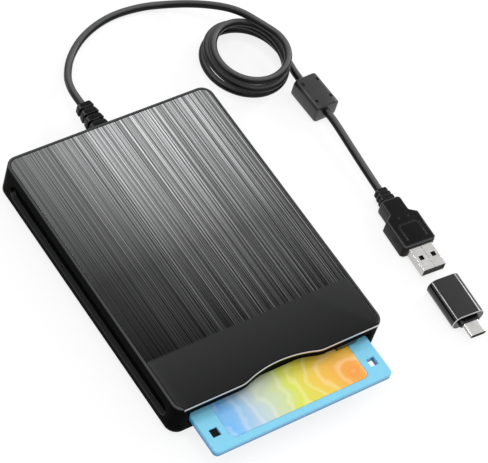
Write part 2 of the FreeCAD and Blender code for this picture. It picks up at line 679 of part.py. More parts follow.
def carrier():
    front, back = FRONT + " + carrier_front", FRONT + " + carrier_back"
    under, top = "disk_rest - 0.3 - carrier_sheet + 0.1", DISK_TOP + " + 0.3 + carrier_sheet - 0.1"
    parts = [box("carrier_top", both(CARRIER_OUT), (front, back), (DISK_TOP + " + 0.3", top))]
    for sign, name in ((-1, "left"), (1, "right")):
        parts.append(box(name + "_channel", side(sign, CARRIER_IN, CARRIER_OUT), (front, back), (under, top)))
        parts.append(box(name + "_lip", side(sign, "disk_wide / 2 - 3.5", CARRIER_OUT), (front, back),
                         (under, "disk_rest - 0.3")))
        low, high = side(sign, CARRIER_OUT + " - 0.1", WALL_OUT + " - 0.2")
        for k, pin_y in enumerate(PINS_Y):
            parts.append(rod("%s_pin_%d" % (name, k), "x", (pin_y, PIN_Z), low, high, "pin_radius"))
    holes = [box("head_slot", both("8"), ("spindle_y + 20.5", back + " + 1"), (DISK_TOP, top + " + 1")),
             rod("hub_window", "z", ("0", "spindle_y"), DISK_TOP, top + " + 1", "14")]
    for i, (x, y) in enumerate((("-30", "-38"), ("30", "-38"), ("-30", "2"), ("30", "2"))):
        holes.append(rod("carrier_hole_%d" % i, "z", (x, y), DISK_TOP, top + " + 1", "7"))
    node(cut("carrier_whole", fuse("carrier_frame", parts), holes), "disk_carrier")


def eject_slide():
    low = BASE_TOP + " + 0.15"
    front = FRONT + " + carrier_front - 2.3"
    parts = [box("slide_bar", both(SLIDE_OUT), ("-50", "-46"), (low, low + " + 0.6"))]
    slots = []
    slope = math.degrees(math.atan2(size("drop"), size("eject_travel")))
    run = math.hypot(size("drop"), size("eject_travel"))
    wide = 2 * (size("pin_radius") + size("pin_play"))
    for sign, name in ((-1, "left"), (1, "right")):
        across = side(sign, SLIDE_IN, SLIDE_OUT)
        parts.append(box(name + "_rail", across, (front, "22"), (low, low + " + 1.5")))
        for k, pin_y in enumerate(PINS_Y):
            parts.append(box("%s_tab_%d" % (name, k), across,
                             (pin_y + " - 3.5", pin_y + " + eject_travel + 3.2"), (low, PIN_Z + " + 1.7")))
            slot = doc.addObject("Part::Box", "%s_ramp_%d" % (name, k))
            slot.Length, slot.Width, slot.Height = 3.0, run + wide, wide
            turn = FreeCAD.Rotation(Vec(1, 0, 0), -slope)
            corner = turn.multVec(Vec(0, -wide / 2, -wide / 2))
            slot.Placement = FreeCAD.Placement(Vec(0, 0, 0), turn)
            bind(slot, "Placement.Base.x", side(sign, SLIDE_IN + " - 1", SLIDE_IN + " + 2")[0])
            bind(slot, "Placement.Base.y", "%s + (%.6f)" % (pin_y, corner.y))
            bind(slot, "Placement.Base.z", "%s + (%.6f)" % (PIN_Z, corner.z))
            slots.append(slot)
    post_z = "button_bottom + button_tall - 0.4"
    parts.append(box("button_post", (SLIDE_IN, SLIDE_OUT), (front, front + " + 1.9"), (low, post_z)))
    parts.append(box("button_beam", ("button_left + 1", SLIDE_OUT), (front, front + " + 1.9"),
                     ("button_bottom + 0.7", post_z)))
    node(cut("slide_whole", fuse("slide_frame", parts), slots), "eject_slide")
    springs = []
    for i, sign in enumerate((-1, 1)):
        at = ("%d * 34" % sign, BASE_TOP + " + 0.75")
        outer = rod("spring_%d" % i, "y", at, "-45.4", "-33", "0.75")
        core = rod("spring_core_%d" % i, "y", at, "-46", "-32", "0.4")
        springs.append(cut("spring_tube_%d" % i, outer, [core]))
    node(compound("springs", springs), "eject_springs")


def electronics():
    y = FRONT + " + 10.9"
    switches = []
    for i, sign in enumerate((-1, 1)):
        body = box("switch_%d" % i, side(sign, "30", "34"), (y + " - 2", y + " + 2"),
                   (BASE_TOP, BASE_TOP + " + 1.2"))
        tip = rod("switch_tip_%d" % i, "z", ("%d * 32" % sign, y), BASE_TOP + " + 1.1",
                  BASE_TOP + " + 1.6", "0.8")
        switches.append(fuse("switch_whole_%d" % i, [body, tip]))
    node(compound("switches", switches), "sensor_switches")
    board_top = BASE_TOP + " + board_lift + board_thick"
    board = box("main_board", ("22", "46.5"), ("29", "57"), (BASE_TOP + " + board_lift", board_top))
    node(board, "control_board")
    usb_top = "boss_bottom + board_thick"
    node(box("usb_board", ("-12", "40"), (CAVITY_BACK + " - 8.6", CAVITY_BACK + " - 1"),
             ("boss_bottom", usb_top)), "interface_board")
    chips = [box("chip_a", ("27", "37"), ("34", "44"), (board_top, board_top + " + 1.2")),
             box("chip_b", ("39.5", "44.5"), ("34", "41"), (board_top, board_top + " + 1")),
             box("chip_c", ("8", "15"), (CAVITY_BACK + " - 7.5", CAVITY_BACK + " - 2.5"),
                 (usb_top, usb_top + " + 1")),
             box("crystal", ("18", "22"), (CAVITY_BACK + " - 6", CAVITY_BACK + " - 3"),
                 (usb_top, usb_top + " + 1.6"))]
    node(compound("chips", chips), "board_chips")
    plugs = [box("cord_header", ("-5", "5"), (CAVITY_BACK + " - 6", CAVITY_BACK + " - 2.6"),
                 (usb_top, usb_top + " + 3")),
             box("cable_socket_usb", ("26", "36"), (CAVITY_BACK + " - 7.6", CAVITY_BACK + " - 5.6"),
                 (usb_top, usb_top + " + 1.5")),
             box("cable_socket_main", ("26", "36"), ("52", "54"), (board_top, board_top + " + 1.5"))]
    node(compound("headers", plugs), "board_connectors")
    start = size("chassis_under") + size("chassis_sheet") + size("board_lift") + size("board_thick") + 0.8
    finish = size("boss_bottom") + size("board_thick") + 0.8
    back = size("case_depth") / 2 - size("back_wall") - 7.6
    rise = 1.6
    path = [Vec(26.5, 54, start), Vec(26.5, 55.6, start + rise), Vec(26.5, back - 1.6, start + rise),
            Vec(26.5, back, finish)]
    rail = Part.makePolygon(path + [p + Vec(0, 0, 0.25) for p in reversed(path)] + [path[0]])
    node(feature("ribbon", Part.Face(rail).extrude(Vec(9, 0, 0))), "flat_cable")


def diskette():
    rim = ("disk_rest", "disk_rest + disk_thick / 2", DISK_TOP)
    across, along = both("disk_wide / 2"), (DISK_END, DISK_LEAD)
    hub = ("0", HUB_Y)
    hole_y = (DISK_END + " + hole_in - hole_size / 2", DISK_END + " + hole_in + hole_size / 2")
    left_hole = ("-disk_wide / 2 + 5 - hole_size / 2", "-disk_wide / 2 + 5 + hole_size / 2")
    right_hole = ("disk_wide / 2 - 5 - hole_size / 2", "disk_wide / 2 - 5 + hole_size / 2")
    slot = (HUB_Y + " + aperture_near", HUB_Y + " + aperture_far")
    recess_x = ("-shutter_left - 0.3", "-shutter_left + shutter_wide + shutter_travel + 0.3")
    recess_y = (DISK_LEAD + " - shutter_long - 0.2", DISK_LEAD + " + 1")
    room = size("disk_thick") / 2 - size("disk_skin")
    tab_room = (left_hole[0], left_hole[1]), (hole_y[0], hole_y[1] + " + hole_size + 0.6")
    for name, low, high in (("upper", rim[1], rim[2]), ("lower", rim[0], rim[1])):
        block = rounded(name + "_shell", across, along, (low, high), size("disk_corner"))
        level = size("disk_rest") + (size("disk_thick") if name == "upper" else 0.0)
        eased = soften(name + "_shell_eased", block, 0.35, at_height(level))
        inner = (rim[1], DISK_TOP + " - disk_skin") if name == "upper" else ("disk_rest + disk_skin", rim[1])
        holes = [rod(name + "_media_room", "z", hub, *inner, "media_room"),
                 box(name + "_hd_hole", right_hole, hole_y, (low + " - 1", high + " + 1")),
                 box(name + "_aperture", both("aperture_half"), slot, (low + " - 1", high + " + 1"))]
        if name == "upper":
            holes.append(box("upper_tab_hole", left_hole, hole_y, (low + " - 1", high + " + 1")))
            holes.append(box("upper_tab_room", *tab_room, (rim[1], rim[1] + " + 0.75")))
            holes.append(box("upper_shutter_bed", recess_x, recess_y, (DISK_TOP + " - shutter_thick - 0.1",
                             DISK_TOP + " + 1")))
            label_y = (DISK_END + " + label_in", DISK_END + " + label_in + label_long")
            holes.append(rounded("label_bed", both("label_half"), label_y, (DISK_TOP + " - label_recess",
                                 DISK_TOP + " + 1"), 3.0))
        else:
            holes.append(box("lower_tab_room", *tab_room, (low + " - 1", high + " + 1")))
            holes.append(box("lower_shutter_bed", recess_x, recess_y, ("disk_rest - 1",
                             "disk_rest + shutter_thick + 0.1")))
            holes.append(rod("hub_hole", "z", hub, "disk_rest - 1", rim[1], "hub_radius + hub_gap"))
        end_bed = box(name + "_shutter_end", recess_x,
                      (DISK_LEAD + " - shutter_thick - 0.15", DISK_LEAD + " + 1"),
                      (low + " - 1", high + " + 1"))
        node(cut(name + "_shell_whole", eased, holes + [end_bed]), "diskette_shell_" + name)
    tab = box("tab_block", (left_hole[0] + " + 0.1", left_hole[1] + " - 0.1"),
              (hole_y[0] + " + 0.1", hole_y[1] + " + 0.1"), ("disk_rest + 0.3", rim[1] + " + 0.6"))
    node(tab, "write_protect_tab")
    label_y = (DISK_END + " + label_in + 0.15", DISK_END + " + label_in + label_long - 0.15")
    node(rounded("label_sheet", both("label_half - 0.15"), label_y, (DISK_TOP + " - label_recess",
                 DISK_TOP + " - label_recess + label_thick"), 2.85), "diskette_label")
    shutter_x = ("-shutter_left", "-shutter_left + shutter_wide")
    shutter_y = (DISK_LEAD + " - shutter_long", DISK_LEAD + " - 0.05")
    outer = ("disk_rest + 0.05", DISK_TOP + " - 0.05")
    block = box("shutter_block", shutter_x, shutter_y, outer)
    inside = box("shutter_inside", ("-shutter_left - 1", "-shutter_left + shutter_wide + 1"),
                 (DISK_LEAD + " - shutter_long - 1", DISK_LEAD + " - 0.05 - shutter_thick"),
                 ("disk_rest + 0.05 + shutter_thick", DISK_TOP + " - 0.05 - shutter_thick"))
    window = box("shutter_window", ("-shutter_travel - aperture_half", "-shutter_travel + aperture_half"),
                 slot, ("0", "20"))
    node(cut("shutter_whole", block, [inside, window]), "diskette_shutter")
    middle = size("disk_rest") + size("disk_thick") / 2
    media = turned_body("media_disc", [("hub_radius - 2", "0"), ("media_radius", "0"),
                                       ("media_radius", "media_thick"), ("hub_radius - 2", "media_thick")])
    node(place(media, y=HUB_Y, z="disk_rest + disk_thick / 2"), "magnetic_disc")
    cup = turned_body("hub_cup", [("0", "0"), ("hub_radius", "0"), ("hub_radius", "disk_thick / 2 - 0.15"),
                                  ("0", "disk_thick / 2 - 0.15")])
    place(cup, y=HUB_Y, z="disk_rest + 0.15")
    square = box("hub_square", both("2"), (HUB_Y + " - 2", HUB_Y + " + 2"), ("0", "20"))
    drive = box("hub_drive_slot", ("6.6", "9.4"), (HUB_Y + " - 2.2", HUB_Y + " + 2.2"), ("0", "20"))
    node(cut("hub_whole", cup, [square, drive]), "diskette_hub")
    liners = []
    for name, low in (("upper", DISK_TOP + " - disk_skin - liner_thick"), ("lower", "disk_rest + disk_skin")):
        ring = rod(name + "_liner", "z", hub, low, low + " + liner_thick", "media_radius")
        core = rod(name + "_liner_core", "z", hub, low + " - 1", low + " + 1", "hub_radius + 1")
        gap = box(name + "_liner_gap", both("aperture_half + 0.5"), (HUB_Y + " + 18", HUB_Y + " + 50"),
                  (low + " - 1", low + " + 1"))
        liners.append(cut(name + "_liner_ring", ring, [core, gap]))
    node(compound("liners", liners), "diskette_liners")


def strain_relief():
    out = BACK + " + boss_deep"
    neck = rod("relief_neck", "y", ("0", "cord_height"), CAVITY_BACK + " - 0.5", out + " + 0.5",
               "gland_radius - 0.05")
    flange = box("relief_flange", both("4.6"), (CAVITY_BACK + " - 1.7", CAVITY_BACK), ("cord_height - 4",
                 "cord_height + 4"))
    core = box("relief_core", both("2.9"), (out, "relief_end"), ("cord_height - 2.5", "cord_height + 2.5"))
    parts = [neck, flange, core]
    count = int(size("relief_ribs"))
    start = size("case_depth") / 2 + size("boss_deep")
    step = (size("relief_end") - start) / count
    for i in range(count):
        low = "%s + %.4f + rib_gap" % (out, step * i)
        high = "%s + %.4f" % (out, step * (i + 1))
        half, tall = "%.3f" % (4.7 - 0.2 * i), "%.3f" % (3.9 - 0.15 * i)
        rib = box("relief_rib_%d" % i, both(half), (low, high),
                  ("cord_height - " + tall, "cord_height + " + tall))
        parts.append(soften("relief_soft_%d" % i, rib, 1.3, lambda e: e.BoundBox.YLength > 0.5))
    node(fuse("relief_whole", parts), "strain_relief")


def arc_between(start, start_way, joint, apex):
    """The arc from start to joint whose end tangents meet at apex."""
    chord_mid = (start + joint) * 0.5
    rise = apex - chord_mid
    half_turn = start_way.getAngle(joint - start)
    reach = (joint - start).Length / 2
    if half_turn < 1e-6 or rise.Length < 1e-6:
        return Part.LineSegment(start, joint).toShape()
    sagitta = reach * math.tan(half_turn / 2)
    return Part.Arc(start, chord_mid + rise.normalize() * sagitta, joint).toShape()


def biarc(a, way_a, b, way_b):
    """Two tangent arcs from a point and direction to another, with equal tangent lengths."""
    v, t = b - a, way_a + way_b
    c = 2 * (1 - way_a.dot(way_b))
    if c < 1e-9:
        d = v.dot(v) / (4 * v.dot(way_b))
    else:
        d = (-v.dot(t) + math.sqrt(v.dot(t) ** 2 + c * v.dot(v))) / c
    apex_a, apex_b = a + way_a * d, b - way_b * d
    joint = (apex_a + apex_b) * 0.5
    way = (apex_b - apex_a).normalize()
    first = arc_between(a, way_a, joint, apex_a)
    second = arc_between(joint, way, b, apex_b)
    return [first, second]


def coil_point(turns):
    """A point on the coil's centre line, counted in turns from the top."""
    total = size("coil_turns") + (size("coil_start") - size("coil_finish")) / 360
    share = turns / total
    angle = math.radians(size("coil_start") - 360 * turns)
    lean = angle - math.radians(size("coil_shift_way"))
    loose = size("coil_shift") * math.cos(lean) - size("coil_oval") * math.cos(2 * angle)
    radius = (size("coil_top_radius") + (size("coil_low_radius") - size("coil_top_radius")) * share
              + loose * math.sin(math.pi * share) ** 2)
    x = size("coil_top_x") + (size("coil_low_x") - size("coil_top_x")) * share + radius * math.cos(angle)
    y = size("coil_top_y") + (size("coil_low_y") - size("coil_top_y")) * share + radius * math.sin(angle)
    left = total - turns
    settle = min(1.0, left / 0.1)
    return Vec(x, y, size("cord_diameter") / 2 + left * size("coil_pitch") * settle)


def coil_way(turns, total):
    """The unit direction of the coil's centre line, level at its lower end."""
    step = 1e-4
    way = coil_point(min(turns + step, total)) - coil_point(max(turns - step, 0.0))
    if turns <= 0.0 or turns >= total:
        way.z = 0.0
    return way.normalize()


def coil_stations():
    """Points and directions along the coil, about a quarter of a turn apart."""
    total = size("coil_turns") + (size("coil_start") - size("coil_finish")) / 360
    count = 4 * int(size("coil_turns")) + 1
    stops = [total * i / count for i in range(count + 1)]
    return [(coil_point(t), coil_way(t, total)) for t in stops]


def tube_along(edges, diameter):
    """A round tube along a chain of tangent edges."""
    wire = Part.Wire(edges)
    start = wire.Edges[0]
    at = start.valueAt(start.FirstParameter)
    way = start.tangentAt(start.FirstParameter)
    ring = Part.Wire(Part.Circle(at, way, diameter / 2).toShape())
    solid = wire.makePipeShell([ring], True, False)
    length = sum(e.Length for e in edges)
    expected = math.pi * diameter ** 2 / 4 * length
    print("tube %.1f mm, volume share %.4f" % (length, solid.Volume / expected))
    if abs(solid.Volume / expected - 1) > 0.01:
        sys.exit("a tube's volume is not its section times its length")
    return solid, length


def route_edges(points):
    """Straight runs joined by tangent arcs, each as large as its two runs allow."""
    edges, at, radii = [], points[0], []
    for before, here, after in zip(points, points[1:], points[2:]):
        into, out = here - before, after - here
        turn = into.getAngle(out)
        shorter = min(into.Length, out.Length)
        tangent = 0.45 * shorter
        radii.append(tangent / math.tan(turn / 2))
        start = here - into.normalize() * tangent
        end = here + out.normalize() * tangent
        middle = (start + end) * 0.5
        sagitta = (end - start).Length / 2 * math.tan(turn / 4)
        top = middle + (here - middle).normalize() * sagitta
        edges.append(Part.LineSegment(at, start).toShape())
        edges.append(Part.Arc(start, top, end).toShape())
        at = end
    edges.append(Part.LineSegment(at, points[-1]).toShape())
    print("arc radii", ["%.0f" % r for r in radii])
    return edges


def cords():
    diameter = size("cord_diameter")
    low = diameter / 2
    stations = coil_stations()
    first, way_in = stations[0]
    last, way_out = stations[-1]
    head, tail = first - way_in * diameter, last + way_out * diameter
    edges = [Part.LineSegment(head, first).toShape()]
    for (a, way_a), (b, way_b) in zip(stations, stations[1:]):
        edges += biarc(a, way_a, b, way_b)
    edges.append(Part.LineSegment(last, tail).toShape())
    coil, coil_length = tube_along(edges, diameter)
    samples = []
    for edge in edges:
        steps = max(2, int(edge.Length / 0.8))
        span = edge.LastParameter - edge.FirstParameter
        samples += [edge.valueAt(edge.FirstParameter + span * k / steps) for k in range(steps)]
    spacing = coil_length / len(samples)
    apart = int(40 / spacing)
    least = min((a - b).Length for i, a in enumerate(samples) for b in samples[i + apart:])
    print("coil self gap %.2f mm" % (least - diameter))
    if least - diameter < 0.4:
        sys.exit("the coil's turns are too close")
    node(feature("coil_tube", coil), "cord_coil")
    loop = [
        Vec(0, size("relief_end"), size("cord_height")),
        Vec(0, 94.6, 8.7),
        Vec(1.9, 101.2, 6.2),
        Vec(5.4, 108.9, 3.2),
        Vec(13.2, 119.2, low),
        Vec(25.8, 128.0, low),
        Vec(42.2, 132.9, low),
        Vec(58.6, 132.2, low),
        Vec(70.8, 127.6, 3.2),
        Vec(80.2, 119.6, 8.0),
        Vec(88.6, 109.8, 12.6),
        head - way_in * 9.0,
        head,
    ]
    loop_tube, loop_length = tube_along(route_edges(loop), diameter)
    node(feature("loop_tube", loop_tube), "cord_loop")
    turn = FreeCAD.Rotation(Vec(0, 0, 1), size("ferrite_turn"))
    middle = Vec(size("ferrite_x"), size("ferrite_y"), size("ferrite_tall") / 2)
    ferrite_half = turn.multVec(Vec(0, size("ferrite_long") / 2, 0))
    entry, leave = middle + ferrite_half, middle - ferrite_half
    way = ferrite_half * (1 / ferrite_half.Length)
    lead = [tail, tail + way_out * 3.0, Vec(104.6, 72.4, 2.5), Vec(103.0, 69.0, 4.4),
            entry + way * 3.2, entry]
    lead_tube, lead_length = tube_along(route_edges(lead), diameter)
    node(feature("lead_tube", lead_tube), "cord_lead")
    plug = Vec(size("plug_x"), size("plug_y"), size("plug_z"))
    plug_way = FreeCAD.Rotation(Vec(0, 0, 1), size("plug_turn")).multVec(Vec(0, -1, 0))
    tail_path = [leave, leave - way * 6.0, plug - plug_way * 6.0, plug]
    tail_tube, tail_length = tube_along(route_edges(tail_path), diameter)
    node(feature("tail_tube", tail_tube), "cord_tail")
    whole = loop_length + coil_length + lead_length + size("ferrite_long") + tail_length
    print("cord length %.1f mm" % whole)


def ferrite():
    half, tall, long = "ferrite_wide / 2", "ferrite_tall / 2", "ferrite_long / 2"
    block = box("ferrite_block", both(half), both(long), ("-" + tall, tall))
    eased = soften("ferrite_soft", block, 2.6, lambda e: e.BoundBox.YLength > 5)
    ends = soften("ferrite_ends", eased, 1.0, lambda e: e.BoundBox.YLength < 0.01)
    bore = rod("ferrite_bore", "y", ("0", "0"), "-ferrite_long / 2 + 2", "ferrite_long / 2 - 2", "4.2")
    notches = []
    for i, sign in enumerate((-1, 1)):
        y = (("-ferrite_long / 2 + 2.2", "-ferrite_long / 2 + 3.8"), ("ferrite_long / 2 - 3.8",
             "ferrite_long / 2 - 2.2"))[i]
        notches.append(box("latch_notch_%d" % i, (half + " - 0.9", half + " + 1"), y, ("-1.6", "1.6")))
        notches.append(box("top_notch_%d" % i, ("-ferrite_wide / 2 + 2.6", "-ferrite_wide / 2 + 4.4"), y,
                           (tall + " - 0.7", tall + " + 1")))
        notches.append(box("edge_notch_%d" % i, ("ferrite_wide / 2 - 3.4", "ferrite_wide / 2 - 2.2"),
                           (y[0], y[1]), (tall + " - 0.8", tall + " + 1")))
    whole = cut("ferrite_hollow", ends, [bore] + notches)
    for name, z in (("upper", ("0.05", "10")), ("lower", ("-10", "-0.05"))):
        slab = box("ferrite_slab_" + name, both("20"), both("20"), z)
        piece = doc.addObject("Part::Common", "ferrite_" + name)
        piece.Base, piece.Tool = whole, slab
        place(piece, "ferrite_x", "ferrite_y", "ferrite_tall / 2", Vec(0, 0, 1), size("ferrite_turn"))
        node(piece, "ferrite_housing_" + name)
    core = rod("core_solid", "y", ("0", "0"), "-ferrite_long / 2 + 2.2", "ferrite_long / 2 - 2.2", "4")
    hole = rod("core_bore", "y", ("0", "0"), "-20", "20", "cord_diameter / 2 + 0.1")
    whole_core = cut("core_whole", core, [hole])
    place(whole_core, "ferrite_x", "ferrite_y", "ferrite_tall / 2", Vec(0, 0, 1), size("ferrite_turn"))
    node(whole_core, "ferrite_core")


def on_plug_axis(thing, label):
    """Stand a piece that was drawn along -Y from zero on the plug's own axis."""
    whole = compound(label + "_on_axis", [thing])
    place(whole, "plug_x", "plug_y", "plug_z", Vec(0, 0, 1), size("plug_turn"))
    node(whole, label)


def plug():
    a, b = "-relief_long", "-relief_long - neck_long"
    end = "-relief_long - neck_long - grip_long"
    left = [("neck_wide / 2 - 1", a), ("neck_wide / 2", a + " - 1.2"), ("neck_wide / 2", b + " + 1"),
            ("grip_wide / 2", b + " - 1.6"), ("grip_wide / 2", end + " + 1.4"), ("grip_wide / 2 - 1.2", end)]
    outline = [("-(%s)" % x, y) for x, y in left] + left[::-1]
    body = padded_body("grip_body", "XY_Plane", outline, "grip_tall")
    place(body, z="-grip_tall / 2")
    top = size("grip_tall") / 2
    eased = soften("grip_soft", body, 1.1, lambda e: e.BoundBox.ZLength < 1e-6
                   and e.BoundBox.YMin > -size("relief_long") - size("neck_long") - size("grip_long") + 0.2)
    parts = [eased, box("plug_relief_core", both("2.9"), ("-relief_long - 0.5", "0"), both("2.6"))]
    for i in range(3):
        low = "-relief_long + %.2f" % (2.25 * i + 0.9)
        rib = box("plug_rib_%d" % i, both("relief_wide / 2"), (low, low + " + 1.5"), both("3.1"))
        parts.append(soften("plug_rib_soft_%d" % i, rib, 1.1, lambda e: e.BoundBox.YLength > 0.5))
    cuts = [box("shell_seat", both("shell_wide / 2"), (end + " - 1", end + " + 4"), both("shell_tall / 2"))]
    for sign in (-1, 1):
        for i in range(5):
            y = "%s + %.2f" % (end, 4.4 + 1.15 * i)
            cuts.append(box("grip_rib_%d_%d" % (sign + 1, i), side(sign, "grip_wide / 2 - 0.45",
                            "grip_wide / 2 + 1"), (y, y + " + 0.55"), both("1.7")))
    cuts.append(box("panel_line", both("5.6"), (end + " + 3", end + " + 12.4"), ("grip_tall / 2 - 0.25",
                    "grip_tall / 2 + 1")))
    raised = box("panel_face", both("5.2"), (end + " + 2.8", end + " + 12"), ("grip_tall / 2 - 0.6",
                 "grip_tall / 2"))
    whole = fuse("grip_whole", [cut("grip_cut", fuse("grip_solid", parts), cuts), raised])
    on_plug_axis(whole, "plug_overmould")
    tip = end + " - shell_long"
    outer = box("usb_shell_outer", both("shell_wide / 2"), (tip, end + " + 4"), both("shell_tall / 2"))
    eased_shell = soften("usb_shell_soft", outer, 0.45, lambda e: e.BoundBox.YLength > 5)
    inner = box("usb_shell_inner", both("shell_wide / 2 - shell_sheet"), (tip + " - 1", end + " + 3.5"),
                both("shell_tall / 2 - shell_sheet"))
    holes = [inner]
    for sign in (-1, 1):
        holes.append(box("usb_window_%d" % (sign + 1), side(sign, "2.0", "4.3"),
                         (tip + " + 5.2", tip + " + 7.5"), both("5")))
    on_plug_axis(cut("usb_shell_whole", eased_shell, holes), "plug_shell")
    tongue = box("usb_tongue", both("shell_wide / 2 - shell_sheet - 0.1"), (tip + " + 0.6", end + " + 3.4"),
                 ("-shell_tall / 2 + shell_sheet", "0"))
    on_plug_axis(tongue, "plug_tongue")
    strips = [box("contact_%d" % i, ("%.2f" % (x - 0.5), "%.2f" % (x + 0.5)), (tip + " + 1.4", tip + " + 9"),
                  ("0", "0.12")) for i, x in enumerate((-3.5, -1.0, 1.0, 3.5))]
    on_plug_axis(compound("contacts", strips), "plug_contacts")


def adapter():
    start = "-relief_long - neck_long - grip_long - shell_long - adapter_gap"
    end = start + " - adapter_long"
    half, tall = "adapter_wide / 2", "adapter_tall / 2"
    block = box("adapter_block", both(half), (end, start), both(tall))
    stadium = soften("adapter_stadium", block, size("adapter_tall") / 2 - 0.35,
                     lambda e: e.BoundBox.YLength > 5)
    eased = soften("adapter_soft", stadium, 0.35, lambda e: e.BoundBox.YLength < 0.01)
    wide, high = "shell_wide / 2 + socket_gap", "shell_tall / 2 + socket_gap"
    seat = box("socket_seat", both(wide + " + shell_sheet"), (start + " - socket_deep", start + " + 1"),
               both(high + " + shell_sheet"))
    on_plug_axis(cut("adapter_whole", eased, [seat]), "adapter_body")
    liner = box("liner_outer", both(wide + " + shell_sheet"), (start + " - socket_deep", start + " - 0.3"),
                both(high + " + shell_sheet"))
    hollow = box("liner_inner", both(wide), (start + " - socket_deep + 0.3", start + " + 1"), both(high))
    on_plug_axis(cut("liner_whole", liner, [hollow]), "adapter_socket")
    tongue = box("socket_tongue", both("shell_wide / 2 - shell_sheet - 0.35"),
                 (start + " - socket_deep + 0.3", start + " - 3.2"),
                 ("0.35", "shell_tall / 2 - shell_sheet - 0.2"))
    on_plug_axis(tongue, "adapter_tongue")
    collar = box("collar_block", both("c_wide / 2 + 0.9"), (end + " - collar_long", end),
                 both("c_tall / 2 + 0.9"))
    on_plug_axis(soften("collar_soft", collar, 1.4, lambda e: e.BoundBox.YLength > 1), "adapter_collar")
    c_start = end + " - collar_long"
    c_end = c_start + " - c_long"
    c_block = box("c_outer", both("c_wide / 2"), (c_end, c_start), both("c_tall / 2"))
    c_round = soften("c_soft", c_block, size("c_tall") / 2 - 0.02, lambda e: e.BoundBox.YLength > 5)
    c_inner = box("c_inner", both("c_wide / 2 - 0.33"), (c_end + " - 1", c_start + " + 1"),
                  both("c_tall / 2 - 0.33"))
    c_hollow = soften("c_hollow", c_inner, size("c_tall") / 2 - 0.35, lambda e: e.BoundBox.YLength > 5)
    on_plug_axis(cut("c_shell_whole", c_round, [c_hollow]), "usb_c_shell")
    root_box = box("c_root_box", both("c_wide / 2 - 0.36"), (c_start + " - 2.2", c_start),
                   both("c_tall / 2 - 0.36"))
    root = soften("c_root", root_box, size("c_tall") / 2 - 0.4, lambda e: e.BoundBox.YLength > 1)
    on_plug_axis(root, "usb_c_insert")


upper_case()
bottom_cover()
feet_and_screws()
top_plate_and_trim()
bezel_and_button()
chassis()
spindle()
head_drive()
carrier()
eject_slide()
electronics()
diskette()
strain_relief()
cords()
ferrite()
plug()
adapter()
doc.recompute()

for thing in doc.Objects:
    if "Invalid" in thing.State or "Error" in thing.State:
        sys.exit("%s did not recompute" % thing.Name)
for thing in NODES:
    if thing.Shape.isNull() or not thing.Shape.isValid() or not thing.Shape.Solids:
        sys.exit("%s has no valid solid" % thing.Label)

os.makedirs("parts", exist_ok=True)
for thing in NODES:
    thing.Shape.exportStep(os.path.join("parts", thing.Label + ".step"))
    print("%-24s %d solid, %.1f mm3" % (thing.Label, len(thing.Shape.Solids), thing.Shape.Volume))
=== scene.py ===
import math

import bmesh
import bpy
from bpy.props import FloatProperty, FloatVectorProperty, IntProperty, PointerProperty
from mathutils import Matrix, Vector


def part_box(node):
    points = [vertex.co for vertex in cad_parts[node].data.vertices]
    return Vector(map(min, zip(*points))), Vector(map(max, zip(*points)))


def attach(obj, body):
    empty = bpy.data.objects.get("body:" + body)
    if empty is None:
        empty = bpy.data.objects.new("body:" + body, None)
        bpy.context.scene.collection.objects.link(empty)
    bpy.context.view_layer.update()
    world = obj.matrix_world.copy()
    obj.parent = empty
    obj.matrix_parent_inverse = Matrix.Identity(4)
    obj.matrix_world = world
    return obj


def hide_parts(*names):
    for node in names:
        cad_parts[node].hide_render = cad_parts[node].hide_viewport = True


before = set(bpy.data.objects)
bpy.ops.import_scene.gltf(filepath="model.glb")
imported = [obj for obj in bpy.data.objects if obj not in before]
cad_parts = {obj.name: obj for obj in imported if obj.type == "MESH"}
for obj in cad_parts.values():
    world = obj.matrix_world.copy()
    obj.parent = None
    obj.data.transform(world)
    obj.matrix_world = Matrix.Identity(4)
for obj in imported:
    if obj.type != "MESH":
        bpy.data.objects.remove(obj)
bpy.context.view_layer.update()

bl_info = {
    "name": "External floppy drive",
    "version": (1, 0, 0),
    "blender": (4, 5, 0),
    "location": "3D View > Sidebar > Floppy drive",
    "description": "Finishes an external floppy drive with its diskette, cord, plug and adapter",
    "category": "Add Mesh",
}

MM = 0.001

# Places that the pieces share, read from the frame. The case's front is at -Y.
COVER_LOW, COVER_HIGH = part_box("bottom_cover")
PLATE_LOW, PLATE_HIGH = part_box("top_plate")
TRIM_LOW, TRIM_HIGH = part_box("front_trim")
LABEL_LOW, LABEL_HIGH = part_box("diskette_label")
FEET_LOW, FEET_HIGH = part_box("rubber_feet")
RELIEF_LOW, RELIEF_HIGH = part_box("strain_relief")
CASE_FRONT = COVER_LOW.y
CASE_BACK = COVER_HIGH.y
CASE_HALF = COVER_HIGH.x
CASE_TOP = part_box("upper_case")[1].z
GROOVE_LOW = 5.0 * MM

# The wave in the front edge: two convex shoulders and one hollow between them
WAVE_HALF = 21.5 * MM
WAVE_DEEP = 3.5 * MM
WAVE_SHOULDER = 14.0 * MM
WAVE_HOLLOW = (WAVE_HALF ** 2 + WAVE_DEEP ** 2) / (2 * WAVE_DEEP) - WAVE_SHOULDER

# The plug's own axis: the cord enters at its point, and the plug and the adapter lie along it
PLUG_POINT = Vector((100.3, -4.5, 4.3)) * MM
PLUG_TURN = math.radians(-3.3)
PLUG_PLACE = Matrix.Translation(PLUG_POINT) @ Matrix.Rotation(PLUG_TURN, 4, "Z")
GRIP_END = 33.5 * MM
ADAPTER_START = 52.9 * MM
ADAPTER_LONG = 21.5 * MM
FERRITE_MIDDLE = Vector((102.7, 52.0, 5.3)) * MM
FERRITE_TURN = math.radians(2.0)
FERRITE_LONG = 18.6 * MM
FERRITE_HALF = 6.3 * MM

